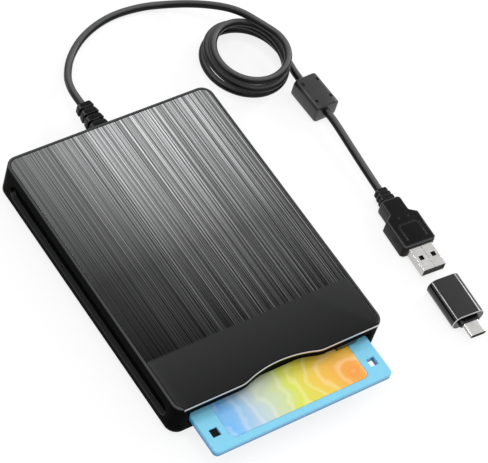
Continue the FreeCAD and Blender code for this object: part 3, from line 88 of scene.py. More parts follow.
# The loose coil, in millimetres and degrees: its upper turn, and how the turns drift and spread
# on the way down to the floor
COIL_X, COIL_Y, COIL_RADIUS = 85.35, 80.85, 16.1
COIL_DRIFT_X, COIL_DRIFT_Y, COIL_SPREAD = 0.15, 3.45, 4.4
COIL_START, COIL_STOP = 35.0, -6.0
COIL_RISE = 4.3
COIL_POINTS = 14
CORD_LIES = 1.8


class DriveSizes(bpy.types.PropertyGroup):
    """The sizes that a user can change"""
    cord_diameter: FloatProperty(
        name="Cord diameter", description="Outer diameter of the cord's jacket",
        default=0.0036, min=0.001, unit="LENGTH")
    cord_length: FloatProperty(
        name="Cord length", description="Real length from the case to the plug",
        default=0.595, min=0.1, unit="LENGTH")
    coil_turns: IntProperty(
        name="Coil turns", description="Whole turns of the loose coil", default=3, min=1, max=8)
    relief_ribs: IntProperty(
        name="Relief ribs", description="Ribs of the strain relief at the case",
        default=4, min=2, max=8)
    plate_ease: FloatProperty(
        name="Plate edge", description="Radius of the metal plate's upper edge",
        default=0.00018, min=0.00005, unit="LENGTH")
    brush_width: FloatProperty(
        name="Brush width", description="Width of one streak of the brushed plate",
        default=0.00030, min=0.00005, unit="LENGTH")
    smooth_band: FloatProperty(
        name="Smooth band", description="Depth of the plate's smooth band behind its front edge",
        default=0.0265, min=0.0, unit="LENGTH")
    edge_round: FloatProperty(
        name="Edge rounding", description="Radius that moulded edges are eased to",
        default=0.00022, min=0.00002, unit="LENGTH")


def colour(label, text, value):
    """A colour that a user can change."""
    return FloatVectorProperty(name=label, description=text, default=value, size=3,
                               min=0.0, max=1.0, subtype="COLOR")


class DriveColours(bpy.types.PropertyGroup):
    """The colours that a user can change"""
    case: colour("Case", "Moulded black of the case", (0.0022, 0.0023, 0.0025))
    gloss: colour("Gloss", "Polished black of the button and adapter", (0.004, 0.0043, 0.0046))
    plate: colour("Plate", "Tint of the brushed metal plate", (0.98, 0.99, 1.0))
    trim: colour("Trim", "Polished edge of the plate", (0.60, 0.60, 0.61))
    diskette: colour("Diskette", "Sky blue of the diskette's shell", (0.19, 0.55, 0.74))
    label_sky: colour("Label sky", "Blue corner of the label", (0.10, 0.42, 0.84))
    label_mist: colour("Label mist", "Pale blue grey of the label", (0.46, 0.58, 0.62))
    label_leaf: colour("Label leaf", "Yellow green of the label", (0.60, 0.66, 0.05))
    label_sun: colour("Label sun", "Yellow of the label", (0.76, 0.50, 0.03))
    label_ember: colour("Label ember", "Orange of the label", (0.78, 0.27, 0.010))
    cord: colour("Cord", "Black of the cord and its mouldings", (0.0040, 0.0040, 0.0043))
    nickel: colour("Nickel", "Satin nickel of the plug shells", (0.54, 0.53, 0.515))
    floor: colour("Floor", "The plain pale floor", (0.98, 0.98, 0.98))


def settings():
    """The sizes and the colours that a user can change."""
    return bpy.context.scene.drive_sizes, bpy.context.scene.drive_colours


def scaled(shade, share):
    """A colour made darker or lighter, with its alpha."""
    return (*[min(1.0, c * share) for c in shade], 1.0)


class Finish:
    """A material while it is being made: its surface shader and the nodes that feed it."""

    def __init__(self, name, base, roughness, metallic=0.0, specular=0.5, coat=0.0):
        self.material = bpy.data.materials.new(name)
        self.material.use_nodes = True
        self.material.diffuse_color = (*base, 1.0)
        self.tree = self.material.node_tree
        self.surface = self.tree.nodes["Principled BSDF"]
        self.base = base
        self.roughness = roughness
        self.put("Base Color", (*base, 1.0))
        self.put("Roughness", roughness)
        self.put("Metallic", metallic)
        self.put("Specular IOR Level", specular)
        self.put("Coat Weight", coat)
        self.where = self.add("ShaderNodeTexCoord").outputs["Object"]

    def put(self, socket, value):
        """Set a socket of the surface shader."""
        self.surface.inputs[socket].default_value = value

    def link(self, output, socket):
        """Let an output drive a socket of the surface shader."""
        self.tree.links.new(output, self.surface.inputs[socket])

    def add(self, kind, settings=(), **sockets):
        """A node with its settings, and its sockets linked or set."""
        made = self.tree.nodes.new(kind)
        for key, value in dict(settings).items():
            setattr(made, key, value)
        for key, value in sockets.items():
            self.feed(made.inputs[key.replace("_", " ")], value)
        return made

    def feed(self, socket, value):
        """Link an output to a socket, or set the socket to a value."""
        if isinstance(value, bpy.types.NodeSocket):
            self.tree.links.new(value, socket)
        else:
            socket.default_value = value

    def axes(self):
        """The surface's place along X, Y and Z."""
        return self.add("ShaderNodeSeparateXYZ", Vector=self.where).outputs

    def facing(self):
        """How far the surface faces up, from -1 to 1."""
        normal = self.add("ShaderNodeNewGeometry").outputs["Normal"]
        return self.add("ShaderNodeSeparateXYZ", Vector=normal).outputs[2]

    def noise(self, stretch, detail=3.0, rough=0.55, shift=(0.0, 0.0, 0.0)):
        """Noise from 0 to 1, with so many cells to the metre along X, Y and Z."""
        spread = self.add("ShaderNodeMapping", Vector=self.where, Location=shift, Scale=stretch)
        return self.add("ShaderNodeTexNoise", Vector=spread.outputs[0], Scale=1.0, Detail=detail,
                        Roughness=rough).outputs[0]

    def span(self, value, low, high, start=0.0, stop=1.0):
        """A value from start to stop, made to run from low to high."""
        made = self.add("ShaderNodeMapRange", Value=value)
        for key, number in (("From Min", start), ("From Max", stop), ("To Min", low), ("To Max", high)):
            made.inputs[key].default_value = number
        return made.outputs[0]

    def sum(self, kind, a, b, c=None):
        """Arithmetic on numbers or outputs."""
        made = self.add("ShaderNodeMath", {"operation": kind})
        for socket, value in zip(made.inputs, (a, b, c)):
            if value is not None:
                self.feed(socket, value)
        return made.outputs[0]

    def mixed(self, factor, a, b, kind="MIX"):
        """A mix of two colours."""
        made = self.add("ShaderNodeMix", {"data_type": "RGBA", "blend_type": kind})
        for socket, value in ((made.inputs[0], factor), (made.inputs[6], a), (made.inputs[7], b)):
            self.feed(socket, value)
        return made.outputs[2]

    def ramp(self, value, stops):
        """A colour ramp through (place, colour) stops."""
        made = self.add("ShaderNodeValToRGB", Fac=value)
        points = made.color_ramp.elements
        while len(points) < len(stops):
            points.new(0.5)
        for point, (place, shade) in zip(points, stops):
            point.position = place
            point.color = (*shade, 1.0)
        return made.outputs[0]

    def greys(self, value, *stops):
        """A ramp through (place, grey) stops."""
        return self.ramp(value, [(place, (grey,) * 3) for place, grey in stops])

    def mottle(self, size, amount):
        """Vary the base colour a little over patches of a size."""
        factor = self.noise((1 / size,) * 3)
        self.link(self.mixed(factor, scaled(self.base, 1 - amount), scaled(self.base, 1 + amount)),
                  "Base Color")

    def tint(self, factor, shade):
        """Mix a shade over what already feeds the base colour."""
        below = self.surface.inputs["Base Color"].links[0].from_socket
        self.link(self.mixed(factor, below, (*shade, 1.0)), "Base Color")

    def wear(self, size, spread):
        """Vary the roughness over patches of a size."""
        factor = self.noise((1 / size,) * 3, shift=(3.0, 5.0, 7.0))
        self.link(self.span(factor, self.roughness - spread, self.roughness + spread, 0.3, 0.7),
                  "Roughness")

    def edges(self, radius, shade):
        """Paint a highlight into the base colour along rounded edges that face up, over a radius."""
        round_edge = self.add("ShaderNodeBevel", {"samples": 4}, Radius=radius).outputs[0]
        facing = self.add("ShaderNodeSeparateXYZ", Vector=round_edge).outputs
        sides = [self.sum("ABSOLUTE", part, 0.0) for part in facing]
        most = self.sum("MAXIMUM", self.sum("MAXIMUM", sides[0], sides[1]), sides[2])
        rounded = self.span(most, 1.0, 0.0, 0.74, 0.96)
        # painted highlight: a lighter shade on rounded edges that face up
        self.tint(self.sum("MULTIPLY", rounded, self.span(facing[2], 0.0, 1.0, 0.15, 0.45)), shade)

    def relief(self, height, depth, strength=1.0, ease=0.0):
        """Bump the surface by a height field, over edges eased to a radius."""
        made = self.add("ShaderNodeBump", Height=height, Distance=depth, Strength=strength)
        if ease:
            round_edge = self.add("ShaderNodeBevel", {"samples": 4}, Radius=ease)
            self.feed(made.inputs["Normal"], round_edge.outputs[0])
        self.link(made.outputs[0], "Normal")


def moulded(name, base, roughness=0.45, specular=0.3, grain=0.0003, depth=0.00001, coat=0.0):
    """Moulded plastic: fine grain, slight mottling and eased edges."""
    sizes = bpy.context.scene.drive_sizes
    made = Finish(name, base, roughness, specular=specular, coat=coat)
    made.mottle(0.006, 0.12)
    made.wear(0.004, 0.05)
    made.relief(made.noise((1 / grain,) * 3, detail=2.0), depth, ease=sizes.edge_round)
    return made.material


def metal(name, base, roughness, grain):
    """Metal with a grain of so many cells to the metre along X, Y and Z."""
    sizes = bpy.context.scene.drive_sizes
    made = Finish(name, base, roughness, metallic=1.0)
    made.mottle(0.003, 0.08)
    made.wear(0.002, 0.06)
    made.relief(made.noise(grain, detail=2.0), 0.000004, ease=sizes.edge_round * 0.6)
    return made.material


def case_plastic():
    """Black case plastic with a fine grain, and shallow upright ribs in the side grooves, with painted
    highlights on its up-facing groove ledges, top rim and upper edges.
    """
    sizes, colours = settings()
    made = Finish("case_plastic", colours.case, 0.36, specular=0.004)
    made.mottle(0.008, 0.15)
    made.wear(0.005, 0.05)
    x, y, z = made.axes()
    pitch, groove_wall = 1.1 * MM, CASE_HALF - 2.4 * MM
    # painted highlight: a lighter shade on the up-facing ledges at the foot of the side grooves, on the top
    # rim and along upper edges
    painted_highlight = (0.060, 0.061, 0.063)
    ledge = made.span(z, 0.55, 0.0, GROOVE_LOW + 0.3 * MM, GROOVE_LOW + 0.9 * MM)
    rim = made.span(z, 0.0, 1.0, CASE_TOP - 1.2 * MM, CASE_TOP - 0.7 * MM)
    level = made.span(made.facing(), 0.0, 1.0, 0.5, 0.9)
    made.tint(made.sum("MULTIPLY", level, made.sum("MAXIMUM", ledge, rim)), painted_highlight)
    made.edges(0.00040, painted_highlight)
    ribs = made.sum("SINE", made.sum("MULTIPLY", y, 2 * math.pi / pitch), 0.0)
    inside = made.span(made.sum("ABSOLUTE", x, 0.0), 1.0, 0.0, groove_wall + 0.1 * MM,
                       groove_wall + 0.4 * MM)
    grain = made.span(made.noise((4200.0,) * 3, detail=2.0), 0.0, 0.10)
    height = made.sum("MULTIPLY_ADD", made.sum("MULTIPLY", ribs, inside), 0.5, grain)
    made.relief(height, 0.00007, ease=sizes.edge_round)
    return made.material


def diskette_plastic():
    """Sky blue plastic with painted shade: its upright edges are a deeper blue toward the bottom."""
    sizes, colours = settings()
    made = Finish("diskette_plastic", colours.diskette, 0.28, specular=0.45)
    # painted shade: the upright edges darker than the flat faces, and darker toward the bottom
    level = made.span(made.sum("ABSOLUTE", made.facing(), 0.0), 0.0, 1.0, 0.2, 0.9)
    upper = made.span(made.axes()[2], 0.0, 0.8, 9.4 * MM, 11.0 * MM)
    level = made.sum("MAXIMUM", level, upper)
    top = made.mixed(made.noise((170.0,) * 3), scaled(colours.diskette, 0.95),
                     scaled(colours.diskette, 1.05))
    shaded_side = (colours.diskette[0] * 0.12, colours.diskette[1] * 0.36, colours.diskette[2] * 0.62, 1.0)
    made.link(made.mixed(level, shaded_side, top), "Base Color")
    made.wear(0.004, 0.05)
    made.relief(made.noise((3000.0,) * 3, detail=2.0), 0.000003, ease=sizes.edge_round * 0.7)
    return made.material


def cord_moulding():
    """Satin black of the cord's mouldings, with a painted highlight along their upper edges."""
    sizes, colours = settings()
    made = Finish("cord_moulding", colours.cord, 0.26, specular=0.09)
    made.mottle(0.006, 0.12)
    made.wear(0.004, 0.05)
    # painted highlight along the upper edges
    made.edges(0.00030, (0.075, 0.076, 0.078))
    made.relief(made.noise((2500.0,) * 3, detail=2.0), 0.00001, ease=sizes.edge_round)
    return made.material


def cord_jacket():
    """Soft black jacket, with a painted highlight along its upward-facing crest."""
    colours = settings()[1]
    made = Finish("cord_jacket", colours.cord, 0.30, specular=0.16)
    made.mottle(0.006, 0.12)
    made.wear(0.004, 0.05)
    # painted highlight: a paler shade where the jacket faces up
    made.tint(made.span(made.facing(), 0.0, 1.0, 0.72, 0.99), (0.085, 0.086, 0.088))
    made.relief(made.noise((1700.0,) * 3, detail=2.0), 0.000002)
    return made.material


def ferrite_shell():
    """Satin black of the ferrite's two half shells, with the line where they meet."""
    sizes, colours = settings()
    made = Finish("ferrite_shell", colours.cord, 0.36, specular=0.55)
    made.mottle(0.005, 0.12)
    made.wear(0.004, 0.05)
    off = made.sum("ABSOLUTE", made.sum("SUBTRACT", made.axes()[2], FERRITE_MIDDLE.z), 0.0)
    seam = made.span(off, 0.0, 1.0, 0.06 * MM, 0.14 * MM)
    grain = made.span(made.noise((2500.0,) * 3, detail=2.0), 0.0, 0.05)
    made.relief(made.sum("ADD", seam, grain), 0.00015, ease=sizes.edge_round)
    return made.material


def brushed_plate():
    """Dark brushed metal, streaked from front to back, with a smooth band at the front, and a painted
    reflection in its base colour: dark towards the front and the left, bright towards the back.
    """
    sizes, colours = settings()
    made = Finish("brushed_plate", colours.plate, 0.26, metallic=1.0)
    x, y = made.axes()[:2]
    grain = 1 / sizes.brush_width
    fine = made.noise((grain, 3.5, 0.0), detail=1.0, rough=0.6)
    middle = made.noise((0.70 * grain, 3.0, 0.0), detail=1.0, shift=(4.0, 2.0, 0.0))
    broad = made.noise((0.14 * grain, 3.0, 0.0), detail=1.0, shift=(9.0, 5.0, 0.0))
    streaks = made.sum("MULTIPLY_ADD", fine, 0.58, made.sum("MULTIPLY", middle, 0.34))
    streaks = made.sum("MULTIPLY_ADD", broad, 0.08, streaks)
    swing = made.span(streaks, -1.0, 1.0, 0.41, 0.59)
    # painted reflection: the streaks show more strongly towards the right and the front
    shown = made.span(x, 0.45, 1.36, -PLATE_HIGH.x, -0.3 * PLATE_HIGH.x)
    shown = made.sum("MULTIPLY", shown, made.span(y, 1.25, 0.72, 0.0, CASE_BACK))
    light = made.sum("EXPONENT", made.sum("MULTIPLY", swing, shown), 0.0)
    # painted reflection: darker towards the left and the front, brightest towards the back
    across = made.span(x, 0.0, 1.0, -PLATE_HIGH.x, PLATE_HIGH.x)
    side = made.greys(across, (0.05, 0.45), (0.60, 0.98), (0.95, 0.78))
    painted_reflection = made.greys(made.span(y, 0.0, 1.0, CASE_FRONT, CASE_BACK), (0.20, 0.025), (0.48, 0.082),
                      (0.95, 0.370))
    grey = made.add("ShaderNodeCombineColor", Red=light, Green=light, Blue=light).outputs[0]
    streaks_and_painted_reflection = made.mixed(1.0, made.mixed(1.0, painted_reflection, side, "MULTIPLY"), grey, "MULTIPLY")
    band_end = CASE_FRONT + sizes.smooth_band
    brushed = made.span(y, 0.0, 1.0, band_end - 0.0003, band_end + 0.0006)
    smooth = made.greys(made.span(y, 0.0, 1.0, CASE_FRONT, band_end), (0.0, 0.018), (1.0, 0.036))
    shade = made.mixed(brushed, smooth, streaks_and_painted_reflection)
    made.link(made.mixed(1.0, shade, (*colours.plate, 1.0), "MULTIPLY"), "Base Color")
    rough = made.span(streaks, 0.22, 0.34, 0.36, 0.64)
    made.link(made.mixed(brushed, (0.24,) * 3 + (1.0,), rough), "Roughness")
    made.relief(made.sum("MULTIPLY", streaks, brushed), 0.00002, 0.6)
    return made.material


def label_print():
    """The label's print: soft rings that spread from a far corner, over a warm to cool ground."""
    colours = settings()[1]
    made = Finish("label_print", colours.label_sun, 0.32, specular=0.4, coat=0.3)
    x, y = made.axes()[:2]
    away_x = made.sum("SUBTRACT", x, LABEL_HIGH.x - 4 * MM)
    away_y = made.sum("SUBTRACT", y, LABEL_LOW.y + 6 * MM)
    square = made.sum("MULTIPLY_ADD", away_x, away_x, made.sum("MULTIPLY", away_y, away_y))
    reach = made.sum("SQRT", square, 0.0)
    wavy = made.sum("MULTIPLY_ADD", made.noise((42.0, 42.0, 0.0)), 0.022, reach)
    ground = made.ramp(made.span(wavy, 0.0, 1.0, 0.012, 0.078), [
        (0.0, colours.label_ember), (0.22, colours.label_sun), (0.45, colours.label_leaf),
        (0.70, colours.label_mist), (0.95, colours.label_sky)])
    pitch = 7.5 * MM
    rings = made.sum("SINE", made.sum("MULTIPLY", wavy, 2 * math.pi / pitch), 0.0)
    glow = made.span(rings, 0.0, 0.16, 0.1, 1.0)
    softened = made.mixed(glow, ground, (1.0, 0.96, 0.80, 1.0))
    specks = made.noise((900.0, 900.0, 0.0), detail=1.0)
    made.link(made.mixed(made.span(specks, 0.0, 0.10), softened, (0.9, 0.8, 0.5, 1.0)), "Base Color")
    made.wear(0.003, 0.05)
    made.relief(made.noise((5200.0,) * 3, detail=1.0), 0.000003)
    return made.material


def nickel_shell():
    """Satin nickel sheet with the fine seam that runs along the middle of a folded shell."""
    sizes, colours = settings()
    made = Finish("nickel_shell", colours.nickel, 0.24, metallic=1.0)
    place = PLUG_PLACE.inverted()
    own = made.add("ShaderNodeMapping", Vector=made.where, Location=place.translation,
                   Rotation=place.to_euler())
    axes = made.add("ShaderNodeSeparateXYZ", Vector=own.outputs[0])
    off = made.sum("ABSOLUTE", axes.outputs[0], 0.0)
    seam = made.span(off, 1.0, 0.0, 0.05 * MM, 0.16 * MM)
    above = made.span(axes.outputs[2], 0.0, 1.0, 1.6 * MM, 1.8 * MM)
    line = made.sum("MULTIPLY", seam, above)
    factor = made.noise((500.0, 90.0, 500.0), detail=2.0)
    made.link(made.mixed(factor, scaled(colours.nickel, 0.90), scaled(colours.nickel, 1.12)),
              "Base Color")
    made.tint(line, (0.10, 0.10, 0.10))
    made.wear(0.0015, 0.06)
    grain = made.span(made.noise((9000.0, 700.0, 9000.0), detail=1.0), 0.0, 0.05)
    made.relief(made.sum("SUBTRACT", grain, line), 0.00006, ease=sizes.edge_round * 0.5)
    return made.material


def circuit_board():
    """Green board with fine tracks under its lacquer."""
    made = Finish("circuit_board", (0.01, 0.12, 0.05), 0.30, coat=0.3)
    spread = made.add("ShaderNodeMapping", Vector=made.where, Scale=(900.0, 900.0, 0.0))
    tracks = made.add("ShaderNodeTexVoronoi", {"distance": "CHEBYCHEV"}, Vector=spread.outputs[0],
                      Scale=1.0).outputs[0]
    line = made.span(tracks, 0.0, 1.0, 0.30, 0.36)
    made.link(made.mixed(line, (0.01, 0.10, 0.045, 1.0), (0.02, 0.22, 0.10, 1.0)), "Base Color")
    made.relief(line, 0.00003)
    return made.material


def wound_copper():
    """Enamelled copper wire, wound in fine turns."""
    made = Finish("wound_copper", (0.62, 0.24, 0.08), 0.30, metallic=1.0)
    pitch = 0.2 * MM
    turns = made.sum("SINE", made.sum("MULTIPLY", made.axes()[2], 2 * math.pi / pitch), 0.0)
    made.mottle(0.002, 0.15)
    made.relief(turns, 0.00002)
    return made.material


# The finishes made so far, by their kind
FINISHES = {}


def finish_of(name):
    """The finish of a kind, made the first time it is asked for."""
    if name not in FINISHES:
        colours = settings()[1]
        makers = {
            "case": case_plastic,
            "gloss": lambda: moulded("gloss_black", colours.gloss, 0.12, 0.50, 0.0012, 0.000002),
            "plate": brushed_plate,
            "trim": lambda: metal("polished_trim", colours.trim, 0.12, (300.0, 300.0, 300.0)),
            "rubber": lambda: moulded("foot_rubber", (0.014, 0.014, 0.014), 0.75, 0.2, 0.0004, 0.00003),
            "steel": lambda: metal("zinc_steel", (0.55, 0.56, 0.57), 0.34, (160.0, 1800.0, 160.0)),
            "brass": lambda: metal("turned_brass", (0.75, 0.56, 0.25), 0.25, (300.0, 4000.0, 300.0)),
            "lens": lambda: moulded("light_lens", (0.02, 0.16, 0.05), 0.10, 0.6, 0.001, 0.000003, 0.3),
            "board": circuit_board,
            "ivory": lambda: moulded("ivory_plastic", (0.60, 0.57, 0.47), 0.50, 0.4),
            "copper": wound_copper,
            "diskette": diskette_plastic,
            "label": label_print,
            "liner": lambda: moulded("liner_fleece", (0.74, 0.74, 0.72), 0.90, 0.1, 0.00012, 0.00004),
            "media": lambda: moulded("media_film", (0.045, 0.028, 0.018), 0.20, 0.5, 0.0008, 0.000002),
            "cord": cord_jacket,
            "moulding": cord_moulding,
            "ferrite": ferrite_shell,
            "core": lambda: moulded("ferrite_core", (0.05, 0.05, 0.052), 0.60, 0.4, 0.0002, 0.00002),
            "nickel": nickel_shell,
        }
        FINISHES[name] = makers[name]()
    return FINISHES[name]


def dress(kind, *nodes):
    """Give nodes that keep their own shape a finish."""
    for name in nodes:
        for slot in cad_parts[name].material_slots:
            slot.link = "OBJECT"
            slot.material = finish_of(kind)


def added(name, data):
    """A new object in the scene."""
    thing = bpy.data.objects.new(name, data)
    bpy.context.scene.collection.objects.link(thing)
    return thing


def mesh_of(name, shape):
    """A mesh of built faces."""
    mesh = bpy.data.meshes.new(name)
    shape.to_mesh(mesh)
    shape.free()
    return mesh


def moved(place, x, y=0.0, z=0.0):
    """A place, moved along its own axes."""
    return place @ Matrix.Translation((x, y, z))


def make_piece(name, shape, body, kinds, sharp=38.0):
    """Turn built faces into a piece that rides on its body, with its finishes."""
    if not shape.faces:
        raise RuntimeError("%s has no faces" % name)
    bmesh.ops.recalc_face_normals(shape, faces=shape.faces)
    mesh = mesh_of(name, shape)
    for kind in kinds:
        mesh.materials.append(finish_of(kind))
    mesh.shade_smooth()
    mesh.set_sharp_from_angle(angle=math.radians(sharp))
    thing = added(name, mesh)
    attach(thing, body)
    return thing


def join_rings(shape, rings, capped=True, kind=0):
    """Skin rings of equally many vertices, and close the first and last."""
    skin = []
    for first, second in zip(rings, rings[1:]):
        for i in range(len(first)):
            k = (i + 1) % len(first)
            skin.append((first[i], first[k], second[k], second[i]))
    if capped:
        skin += [rings[0], rings[-1][::-1]]
    for corners in skin:
        shape.faces.new(corners).material_index = kind


def cross_ring(shape, place, far, half, tall, corner, steps=6):
    """A rounded rectangle across an axis, so far along it towards -Y."""
    corner = max(min(corner, half, tall), 0.00001)
    verts = []
    for quarter, (right, up) in enumerate(((1, 1), (-1, 1), (-1, -1), (1, -1))):
        for k in range(steps + 1):
            angle = math.pi / 2 * (quarter + k / steps)
            x = right * (half - corner) + corner * math.cos(angle)
            z = up * (tall - corner) + corner * math.sin(angle)
            verts.append(shape.verts.new(place @ Vector((x, -far, z))))
    return verts


def eased_run(start, stop, half, tall, corner, ease, steps=3, last=None):
    """Sections of a block from start to stop whose end edges are rounded. It may taper."""
    far_half, far_tall = last or (half, tall)
    turns = [math.pi / 2 * k / steps for k in range(steps + 1)]
    near = [(start + ease * (1 - math.cos(t)), ease * (1 - math.sin(t)), half, tall) for t in turns]
    away = [(stop - ease * (1 - math.cos(t)), ease * (1 - math.sin(t)), far_half, far_tall)
            for t in turns[::-1]]
    return [(at, w - inset, h - inset, max(corner - inset, 0.0)) for at, inset, w, h in near + away]


def loft(shape, place, sections, capped=True, steps=6, kind=0):
    """Skin a run of cross sections, each (far, half, tall, corner)."""
    rings = [cross_ring(shape, place, *section, steps=steps) for section in sections]
    join_rings(shape, rings, capped, kind)


def wave_y(x, inset):
    """The front edge line's place at x, moved in from the case's front by inset."""
    small, large = WAVE_SHOULDER - inset, WAVE_HOLLOW + inset
    meet = WAVE_HALF * (1 - small / (WAVE_SHOULDER + WAVE_HOLLOW))
    x = abs(x)
    if x >= WAVE_HALF:
        return CASE_FRONT + inset
    if x > meet:
        return CASE_FRONT + WAVE_SHOULDER - math.sqrt(small ** 2 - (x - WAVE_HALF) ** 2)
    return CASE_FRONT + WAVE_DEEP - WAVE_HOLLOW + math.sqrt(large ** 2 - x ** 2)


def arc_points(centre, radius, start, stop, steps):
    """Points of an arc seen from above, its angles in degrees."""
    turns = [math.radians(start + (stop - start) * k / steps) for k in range(steps + 1)]
    return [(centre[0] + radius * math.cos(t), centre[1] + radius * math.sin(t)) for t in turns]


def plate_outline(inset):
    """The plate's edge from above, moved in: round back corners and a waved front."""
    half, back, radius = PLATE_HIGH.x - inset, PLATE_HIGH.y - inset, 4.05 * MM - inset
    front = CASE_FRONT + 1.45 * MM + inset
    tongue, gap = 49.0 * MM - inset, 0.75 * MM + inset
    stop = math.degrees(math.acos((half - radius - tongue) / radius))
    left = arc_points((-(half - radius), back - radius), radius, 90, 180, 8)
    left += arc_points((-(half - radius), front + radius), radius, 180, 360 - stop, 6)
    left.append((-tongue, wave_y(tongue, gap)))
    inner = [tongue * (k / 40 - 1) for k in range(1, 40)]
    left += [(x, wave_y(x, gap)) for x in inner]
    return left + [(0.0, wave_y(0.0, gap))] + [(-x, y) for x, y in left[::-1]]


def round_outline(low, high, radius):
    """A rounded rectangle from above, as a function of how far it is moved in."""
    def outline(inset):
        r = radius - inset
        x0, x1, y0, y1 = low.x + inset + r, high.x - inset - r, low.y + inset + r, high.y - inset - r
        spots = ((x1, y1, 0), (x0, y1, 90), (x0, y0, 180), (x1, y0, 270))
        return [p for x, y, turn in spots for p in arc_points((x, y), r, turn, turn + 90, 6)]
    return outline


def slab(shape, outline, low, high, ease, steps=3):
    """A flat piece with an outline from above, whose upper edge is rounded."""
    turns = [math.pi / 2 * k / steps for k in range(steps + 1)]
    levels = [(0.0, low)] + [(ease * (1 - math.cos(t)), high - ease * (1 - math.sin(t))) for t in turns]
    rings = [[shape.verts.new((x, y, z)) for x, y in outline(inset)] for inset, z in levels]
    join_rings(shape, rings)


def turned(shape, centre, profile, count=40):
    """Turn a profile of radius and height about an upright axis."""
    angles = [2 * math.pi * i / count for i in range(count)]
    join_rings(shape, [[shape.verts.new((centre[0] + radius * math.cos(a),
                                         centre[1] + radius * math.sin(a), height)) for a in angles]
                       for radius, height in profile])


def coil_points(turns):
    """The loose coil from its top to the floor, in millimetres."""
    total = turns + (COIL_START - COIL_STOP) / 360
    count = COIL_POINTS * turns
    points = []
    for i in range(count + 1):
        turn = total * i / count
        share = turn / total
        angle = math.radians(COIL_START - 360 * turn)
        loose = 0.9 * math.cos(angle - math.radians(141.0)) - 1.9 * math.cos(2 * angle)
        radius = COIL_RADIUS + COIL_SPREAD * share ** 0.6 + loose * math.sin(math.pi * share) ** 2
        left = total - turn
        points.append(Vector((COIL_X + COIL_DRIFT_X * share + radius * math.cos(angle),
                              COIL_Y + COIL_DRIFT_Y * share + radius * math.sin(angle),
                              CORD_LIES + left * COIL_RISE * min(1.0, left / 0.1))))
    return points


def cord_route(turns):
    """The cord's control points in metres: loop, coil, lead, ferrite and tail."""
    coil = coil_points(turns)
    way_in = (coil[1] - coil[0]).normalized()
    way_in.z = 0.0
    way_out = Vector((-0.077, -0.997, 0.0))
    loop = [Vector(p) for p in (
        (0, 88.0, 9.0), (0, 94.6, 8.7), (1.9, 101.2, 6.2), (5.4, 108.9, 3.2), (13.2, 119.2, 1.8),
        (25.8, 128.0, 1.8), (42.2, 132.9, 1.8), (58.6, 132.2, 1.8), (70.8, 127.6, 3.2),
        (80.2, 119.6, 8.0), (88.6, 109.8, 12.6))]
    head = coil[0] - way_in * 3.6
    tail = coil[-1] + way_out * 3.6
    turn = Matrix.Rotation(FERRITE_TURN, 3, "Z")
    way = turn @ Vector((0, 1, 0))
    middle = FERRITE_MIDDLE / MM
    entry, leave = middle + way * 9.5, middle - way * 9.5
    lead = [tail + way_out * 3.0, Vector((104.6, 72.4, 2.5)), Vector((103.0, 69.0, 4.4)),
            entry + way * 3.2, entry, middle]
    plug = PLUG_POINT / MM
    plug_way = Matrix.Rotation(PLUG_TURN, 3, "Z") @ Vector((0, -1, 0))
    run_out = [leave, leave - way * 6.0, (leave + plug) / 2 + Vector((0.2, 0, 0)),
               plug - plug_way * 6.0, plug]
    return [p * MM for p in loop + [head - way_in * 9.0, head] + coil + [tail] + lead + run_out]


